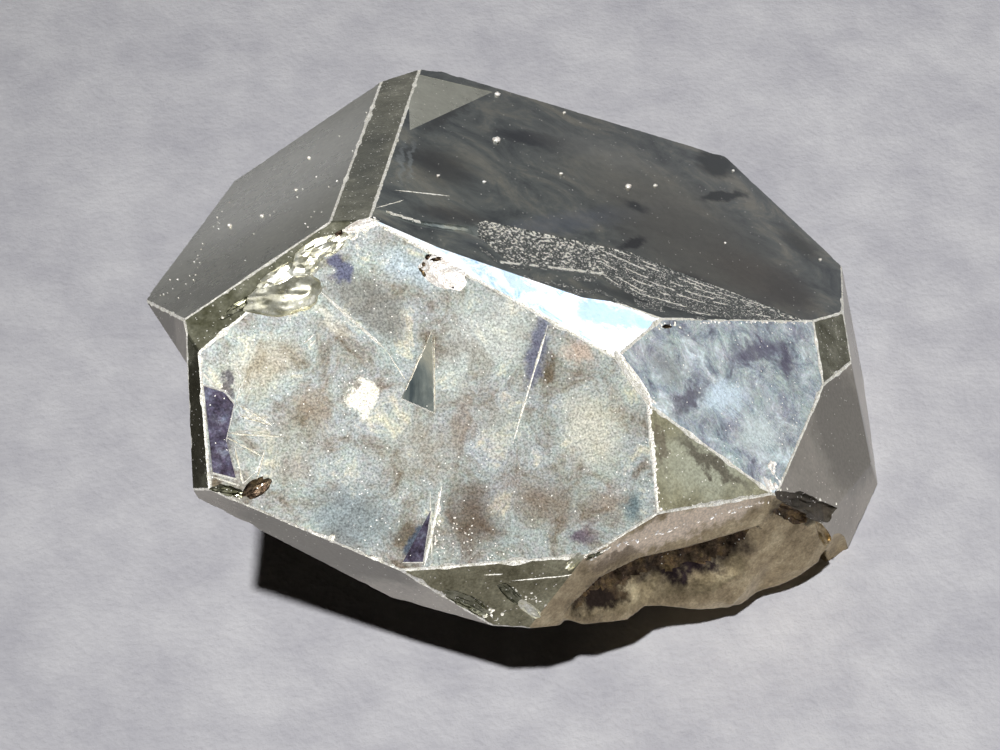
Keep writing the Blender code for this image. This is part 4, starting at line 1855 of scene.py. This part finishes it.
@dataclass(frozen=True)
class Relief:
    """A finely divided surface cut into one side, with a shape of its own.

    Attributes:
        start: One end of its middle line, in the front view.
        stop: The other end.
        half_width: How far it reaches to each side of that line, in millimetres.
        pitch: Spacing of the surface's points, in millimetres.
        height: Gives how far a point of the surface stands above the face.
        skin_at: Gives the finish at a point of the front view.
        reach: How far its block stands out from the face, in millimetres.
    """

    start: Spot
    stop: Spot
    half_width: float
    pitch: float
    height: Callable[[Spot, Vector], float]
    skin_at: Callable[[Spot], Skin]
    reach: float = 2.5

    def build(self, plane: Plane, camera: FrontCamera) -> bpy.types.Object:
        """Make the block whose underside is the surface.

        Args:
            plane: The face, in millimetres.
            camera: The camera whose view gives the places on it.

        Returns:
            The block.
        """
        start, stop = camera.on_plane(self.start, plane), camera.on_plane(self.stop, plane)
        half = ((stop - start).length / 2.0, self.half_width)
        place = plane.frame_at((start + stop) / 2.0, stop - start)
        deselect_all()
        across = [max(2, int(2.0 * h / self.pitch)) for h in half]
        bpy.ops.mesh.primitive_grid_add(
            x_subdivisions=across[0], y_subdivisions=across[1], size=2.0
        )
        block = bpy.context.object
        block.data.transform(place @ Matrix.Diagonal(Vector((*half, 1.0, 1.0))))
        work = bmesh.new()
        work.from_mesh(block.data)
        rim = [e for e in work.edges if e.is_boundary]
        for vert in work.verts:
            vert.co += plane.normal * self.height(camera.seen_at(vert.co), vert.co)
        for polygon in work.faces:
            middle = polygon.calc_center_median()
            polygon.material_index = self.skin_at(camera.seen_at(middle)).value
            polygon.smooth = True
        grown = bmesh.ops.extrude_edge_only(work, edges=rim)["geom"]
        raised = {g for g in grown if isinstance(g, bmesh.types.BMVert)}
        for vert in raised:
            vert.co += plane.normal * (self.reach - plane.height(vert.co))
        edges = [g for g in grown if isinstance(g, bmesh.types.BMEdge)]
        lid = [e for e in edges if all(v in raised for v in e.verts)]
        bmesh.ops.contextual_create(work, geom=lid)
        bmesh.ops.recalc_face_normals(work, faces=work.faces[:])
        work.to_mesh(block.data)
        work.free()
        return block


def bump_at(seen: Spot, middle: Spot, half: Spot, turn_deg: float = 0.0) -> float:
    """Read a smooth hill of height one.

    Args:
        seen: Where to read it, in the front view.
        middle: Its middle there.
        half: Its half sizes there, along its long way and across it.
        turn_deg: How far the long way is turned, clockwise from level in the view.

    Returns:
        Its height at that place.
    """
    turn = math.radians(turn_deg)
    dx, dy = seen[0] - middle[0], seen[1] - middle[1]
    u = (dx * math.cos(turn) + dy * math.sin(turn)) / half[0]
    v = (dy * math.cos(turn) - dx * math.sin(turn)) / half[1]
    return math.exp(-(u * u + v * v))


@dataclass(frozen=True)
class ContactSide:
    """The side that grew against a neighbour: a long hollow over smooth swellings.

    Places are in the front view, and heights and depths in millimetres.

    Attributes:
        side: The side's flat face.
        strip: The narrow face above it.
        hollow_top: The hollow's upper rim.
        hollow_foot: The line that the hollow's depth is spread over.
        hollow_depth: Its depth over the view's x.
        swells: Height, middle, half sizes and turn of each swelling or dip.
        rim: The line near the foot where the side begins to round in.
        round_in: How fast it rounds in.
        round_over: How far inside that line it begins, and how far it goes on.
        begins: Where the relief rises to its full height at the left.
        ends: Where it fades out at the right.
        stained: Where the hollow is stained.
        under_strip: How far it stays under the narrow face.
    """

    side: Plane
    strip: Plane
    hollow_top: tuple[Spot, ...] = (
        (560, 616), (585, 592), (600, 577), (640, 557), (690, 546), (757, 526), (775, 512),
        (836, 505),
    )
    hollow_foot: tuple[Spot, ...] = (
        (560, 618), (590, 614), (620, 607), (660, 596), (700, 584), (742, 562), (760, 534),
        (836, 520),
    )
    hollow_depth: tuple[Spot, ...] = (
        (560, 0.0), (582, 0.55), (620, 0.85), (660, 0.66), (700, 0.74), (742, 0.50), (762, 0.04),
        (836, 0.0),
    )
    swells: tuple[tuple[float, Spot, Spot, float], ...] = (
        (0.18, (602, 610), (36, 12), -8.0),
        (0.24, (722, 588), (34, 18), -16.0),
        (0.16, (792, 556), (30, 26), -40.0),
        (-0.06, (662, 600), (16, 14), 0.0),
        (0.10, (729, 588), (4, 14), 14.0),
        (-0.12, (762, 584), (10, 22), 30.0),
    )
    rim: tuple[Spot, ...] = (
        (556, 618), (590, 629), (618, 626), (646, 611), (697, 611), (740, 606), (778, 588),
        (820, 562), (845, 546),
    )
    round_in: float = 0.030
    round_over: tuple[float, float] = (4.0, 12.0)
    begins: tuple[float, float] = (558.0, 582.0)
    ends: tuple[float, float] = (824.0, 842.0)
    stained: tuple[float, float] = (574.0, 750.0)
    under_strip: float = 0.012

    def _down(self, seen: Spot) -> float:
        """How far down the hollow a spot lies: 0 at its rim and 1 at its foot line."""
        top, foot = along(self.hollow_top, seen[0]), along(self.hollow_foot, seen[0])
        return (seen[1] - top) / max(foot - top, 4.0)

    def height(self, seen: Spot, point: Vector) -> float:
        """How far the contact surface stands above its flat face.

        Args:
            seen: The point in the front view.
            point: The point itself, in millimetres.

        Returns:
            The height in millimetres, negative in the hollow.
        """
        x, y = seen
        down = self._down(seen)
        rough = 0.5 * noise.noise(point * 1.3) + 0.3 * noise.noise(point * 3.1)
        deep = along(self.hollow_depth, x) * smooth_step(0.0, 0.28, down)
        deep *= 1.0 - smooth_step(0.45, 1.35, down)
        swell = sum(height * bump_at(seen, *place) for height, *place in self.swells)
        wrinkle = deep * (0.16 * noise.noise(point * 4.0) + 0.08 * noise.noise(point * 10.0))
        inset, most = self.round_over
        past = min(max(0.0, y - along(self.rim, x) + inset), most)
        shape = smooth_step(0.0, 0.3, down) * swell - deep + wrinkle
        shape += 0.04 * rough * smooth_step(0.0, 0.5, down)
        within = smooth_step(*self.begins, x) * (1.0 - smooth_step(*self.ends, x))
        shape = within * (shape - self.round_in * past ** 1.35)
        if down <= 0.0:
            return shape
        to_strip = -self.strip.height(point) / self.strip.normal.dot(self.side.normal)
        return min(shape, to_strip - self.under_strip)

    def skin_at(self, seen: Spot) -> Skin:
        """Find the finish at a point.

        Args:
            seen: The point in the front view.

        Returns:
            Stained in the hollow, with a ragged lower border, and tan round it.
        """
        x, y = seen
        lowest = 0.40 + 0.4 * noise.noise(Vector((0.05 * x, 0.06 * y, 2.0)))
        if 0.0 < self._down(seen) < lowest and self.stained[0] < x < self.stained[1]:
            return Skin.HOLLOW
        return Skin.CONTACT


@dataclass(frozen=True)
class LowerTop:
    """The lower level of the top face, reached over a band of fine growth steps.

    Places are in the front view, and depths in millimetres.

    Attributes:
        upper: The band's upper edge.
        lower: The band's lower edge.
        sunk: The lower level's depth over the view's x.
        steps: How many steps the band goes down by.
        margin: How far above the band its cutter rises clear of the face.
        clear: How far it rises.
        grit_depth: How rough the band is.
        plain_to: How far right the band is one plain riser.
        riser: Where that riser is broken, and its half width.
        streak: A bright line along the band.
        streak_half: Half the width of that line.
        lines: How many bright lines the band holds at the right.
        gritty_to: About how far right the band is gritty and not lined.
        faint_from: How far left the faint lines under the band go.
        below: The share of the band's height at which it ends.
    """

    upper: tuple[Spot, ...] = (
        (366, 212), (384, 210), (420, 221), (470, 227), (484, 221), (520, 228), (600, 241),
        (640, 257), (700, 281), (760, 303), (812, 323),
    )
    lower: tuple[Spot, ...] = (
        (366, 215), (384, 213), (420, 224), (470, 231), (484, 240), (510, 262), (600, 274),
        (640, 298), (700, 314), (760, 320), (812, 326),
    )
    sunk: tuple[Spot, ...] = (
        (366, 0.004), (380, 0.012), (440, 0.055), (600, 0.055), (665, 0.018), (812, 0.006),
    )
    steps: float = 9.0
    margin: float = 3.0
    clear: float = 0.03
    grit_depth: float = 0.016
    plain_to: float = 478.0
    riser: Triple = (386.0, 420.0, 1.2)
    streak: tuple[Spot, ...] = ((500, 262), (550, 267), (604, 274))
    streak_half: float = 1.1
    lines: float = 11.0
    gritty_to: float = 600.0
    faint_from: float = 480.0
    below: float = 1.04

    def height(self, seen: Spot, point: Vector) -> float:
        """Nothing above the band, and down over its steps to the lower level.

        Args:
            seen: The point in the front view.
            point: The point itself, in millimetres.

        Returns:
            The height above the face in millimetres, negative under it.
        """
        x, y = seen
        top, foot = along(self.upper, x), along(self.lower, x)
        if y < top - self.margin:
            return self.clear
        share = min((y - top) / (foot - top), 1.0)
        level = max(share, 0.0)
        tread = smooth_step(0.4, 1.0, level * self.steps % 1.0)
        terrace = (math.floor(level * self.steps) + tread) / self.steps
        in_band = smooth_step(-0.1, 0.08, share) * (1.0 - smooth_step(0.92, 1.0, share))
        in_band *= smooth_step(470.0, 490.0, x)
        grit = abs(noise.noise(point * 9.0)) + 0.8 * abs(noise.noise(point * 19.0))
        above = self.clear * (1.0 - smooth_step(top - self.margin, top, y))
        down = along(self.sunk, x) * (0.12 + 0.88 * terrace)
        return above - down - in_band * self.grit_depth * grit

    def skin_at(self, seen: Spot) -> Skin:
        """Find the finish at a point.

        Args:
            seen: The point in the front view.

        Returns:
            Striated on the band, crushed on its broken risers, and mirror-dark round it.
        """
        x, y = seen
        top, foot = along(self.upper, x), along(self.lower, x)
        if x < self.plain_to:
            start, stop, half = self.riser
            broken = abs(y - top - 1.0) < half and start < x < stop
            return Skin.EDGE if broken else Skin.DARK
        share = (y - top) / (foot - top)
        if self._on_streak(seen):
            return Skin.EDGE
        if share > self.below:
            faint = noise.noise(Vector((0.03 * x, 2.9 * math.floor((y - foot) / 3.0), 9.0)))
            return Skin.STRIATED if x > self.faint_from and faint > 0.12 else Skin.DARK
        if share <= -0.03:
            return Skin.DARK
        if x < self.gritty_to + 30.0 * noise.noise(Vector((0.0, 0.3 * y, 1.0))):
            fine = noise.noise(Vector((0.34 * x, 0.50 * y, 0.0)))
            grit = fine + 0.5 * noise.noise(Vector((0.08 * x, 0.12 * y, 4.0)))
            return Skin.EDGE if grit > 0.10 + 0.28 * share else Skin.STRIATED
        level = share * self.lines
        thread = noise.noise(Vector((0.035 * x, 3.7 * math.floor(level), 0.0)))
        lined = level % 1.0 > 0.66 and thread > 0.02 + 0.18 * share
        return Skin.EDGE if lined else Skin.STRIATED

    def _on_streak(self, seen: Spot) -> bool:
        """Whether a spot lies on the bright line, which has gaps.

        Args:
            seen: The spot.

        Returns:
            True where the line shows.
        """
        x, y = seen
        near = abs(y - along(self.streak, x)) < self.streak_half
        within = self.streak[0][0] < x < self.streak[-1][0]
        return within and near and noise.noise(Vector((0.06 * x, 0.0, 3.0))) > -0.12


# ------------------------------------------------------------------ the crystal


@dataclass
class Crystal:
    """The pyrite crystal: faces, worn edges, steps, chips and the contact side.

    Attributes:
        camera: The camera whose view gives the places on its faces.
        edges: How its edges are worn.
        lower_top: The lower level of its top face.
        contact_spare: How far the blank stands out at the contact side, in millimetres.
        grains: How many fine grains of dust lie on its left face.
        px_mm: The width of one of the view's pixels at the crystal.
        planes: Its flat faces, once they are read.
    """

    camera: FrontCamera
    edges: WornEdges = field(default_factory=WornEdges)
    lower_top: LowerTop = field(default_factory=LowerTop)
    contact_spare: float = 0.45
    grains: int = 46
    px_mm: float = 0.0216
    planes: dict[Face, Plane] = field(default_factory=dict)

    def build(self) -> bpy.types.Object:
        """Make the dressed crystal.

        Returns:
            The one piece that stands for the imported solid.
        """
        self.planes = FrameFaces().read(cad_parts[NODE])
        blank = dict(self.planes)
        flat = self.planes[Face.CONTACT]
        blank[Face.CONTACT] = Plane(flat.normal, flat.point + flat.normal * self.contact_spare)
        side = ContactSide(flat, self.planes[Face.STRIP])
        body = cut_blank(blank)
        self.edges.wear(body)
        log.info("edges worn: %d faces", len(body.data.polygons))
        lower = self.lower_top
        reliefs = [
            Relief((510, 612), (872, 530), 2.6, 0.055, side.height, side.skin_at).build(
                flat, self.camera
            ),
            Relief((366, 222), (816, 318), 1.3, 0.042, lower.height, lower.skin_at).build(
                self.planes[Face.TOP], self.camera
            ),
        ]
        cutters = Cutters(self.planes, self.camera)
        ledges = [cutters.ledge(ledge) for ledge in LEDGES]
        self._cut(body, [TipNotch().build(), *ledges], "notch and ledges")
        self._cut(body, [cutters.step(step) for step in STEPS], "steps")
        self._cut(body, [cutters.line(line) for line in LINES], "lines")
        hollows = [cutters.hollow(hollow) for hollow in HOLLOWS]
        self._cut(body, [*reliefs, *hollows], "reliefs and hollows")
        bites = [cutters.chip(chip) for chip in CHIPS]
        bites += [cutters.crumble(crumble) for crumble in CRUMBLES]
        self._cut(body, bites, "chips and crumbles")
        self._dust(body)
        self._dress(body)
        return body

    def _cut(self, body: bpy.types.Object, tools: list[bpy.types.Object], what: str) -> None:
        """Take solids out of the crystal, which keeps the cutters' finishes.

        Args:
            body: The crystal.
            tools: The solids, which are removed.
            what: What they cut, for the log.
        """
        group = bpy.data.collections.new(what)
        for tool in tools:
            group.objects.link(tool)
        make_active(body)
        step = body.modifiers.new("cut", "BOOLEAN")
        step.operation = "DIFFERENCE"
        step.operand_type = "COLLECTION"
        step.solver = "EXACT"
        step.collection = group
        before = len(body.data.polygons)
        bpy.ops.object.modifier_apply(modifier=step.name)
        log.info("%s: %d to %d faces", what, before, len(body.data.polygons))
        for tool in tools:
            bpy.data.objects.remove(tool, do_unlink=True)
        bpy.data.collections.remove(group)

    def _dust(self, body: bpy.types.Object) -> None:
        """Rest grains of dust on the faces, a little sunk so that they sit.

        Args:
            body: The crystal.
        """
        chance = random.Random(5)
        grains = list(DUST)
        for _ in range(self.grains):
            a, b = sorted((chance.random(), chance.random()))
            corners = chance.choice(DUSTY_AREAS)
            x = sum(w * c[0] for w, c in zip((a, b - a, 1.0 - b), corners))
            y = sum(w * c[1] for w, c in zip((a, b - a, 1.0 - b), corners))
            grains.append(Dust(Face.LEFT, (x, y), chance.uniform(1.0, 2.0)))
        work = bmesh.new()
        work.from_mesh(body.data)
        for grain in grains:
            plane = self.planes[grain.face]
            at = self.camera.on_plane(grain.spot, plane)
            size = 0.5 * grain.across_px * self.px_mm
            shape = Matrix.Diagonal(Vector((size, size * chance.uniform(0.7, 1.0), size * 0.7, 1.0)))
            place = Matrix.Translation(at + plane.normal * size * 0.3)
            made = bmesh.ops.create_icosphere(work, subdivisions=2, radius=1.0, matrix=place @ shape)
            for vert in made["verts"]:
                vert.co += (vert.co - at) * 0.4 * noise.noise(vert.co * 30.0)
            for polygon in {f for v in made["verts"] for f in v.link_faces}:
                polygon.material_index = Skin.CRUST.value
                polygon.smooth = True
        work.to_mesh(body.data)
        work.free()

    def _dress(self, body: bpy.types.Object) -> None:
        """Bring the body to metres, give it its materials and tie it to the frame.

        Args:
            body: The crystal.
        """
        body.data.transform(Matrix.Scale(MM, 4))
        for skin in Skin:
            stains_and_painted_light = [stain_or_painted_light for stain_or_painted_light in STAINS_AND_PAINTED_LIGHT if FACE_SKINS[stain_or_painted_light.face] is skin]
            placed = [(stain_or_painted_light.place(self.planes, self.camera), stain_or_painted_light) for stain_or_painted_light in stains_and_painted_light]
            body.data.materials[skin.value] = FINISHES[skin].build(placed)
        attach(body, BODY)
        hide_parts(NODE)
        log.info("%s: %d faces", body.name, len(body.data.polygons))


def main() -> None:
    """Build the studio and the crystal, and log how the crystal is made."""
    logging.basicConfig(level=logging.INFO, format="%(message)s")
    camera = FrontCamera()
    camera.build()
    Studio().build()
    Crystal(camera).build()


if __name__ == "__main__":
    main()
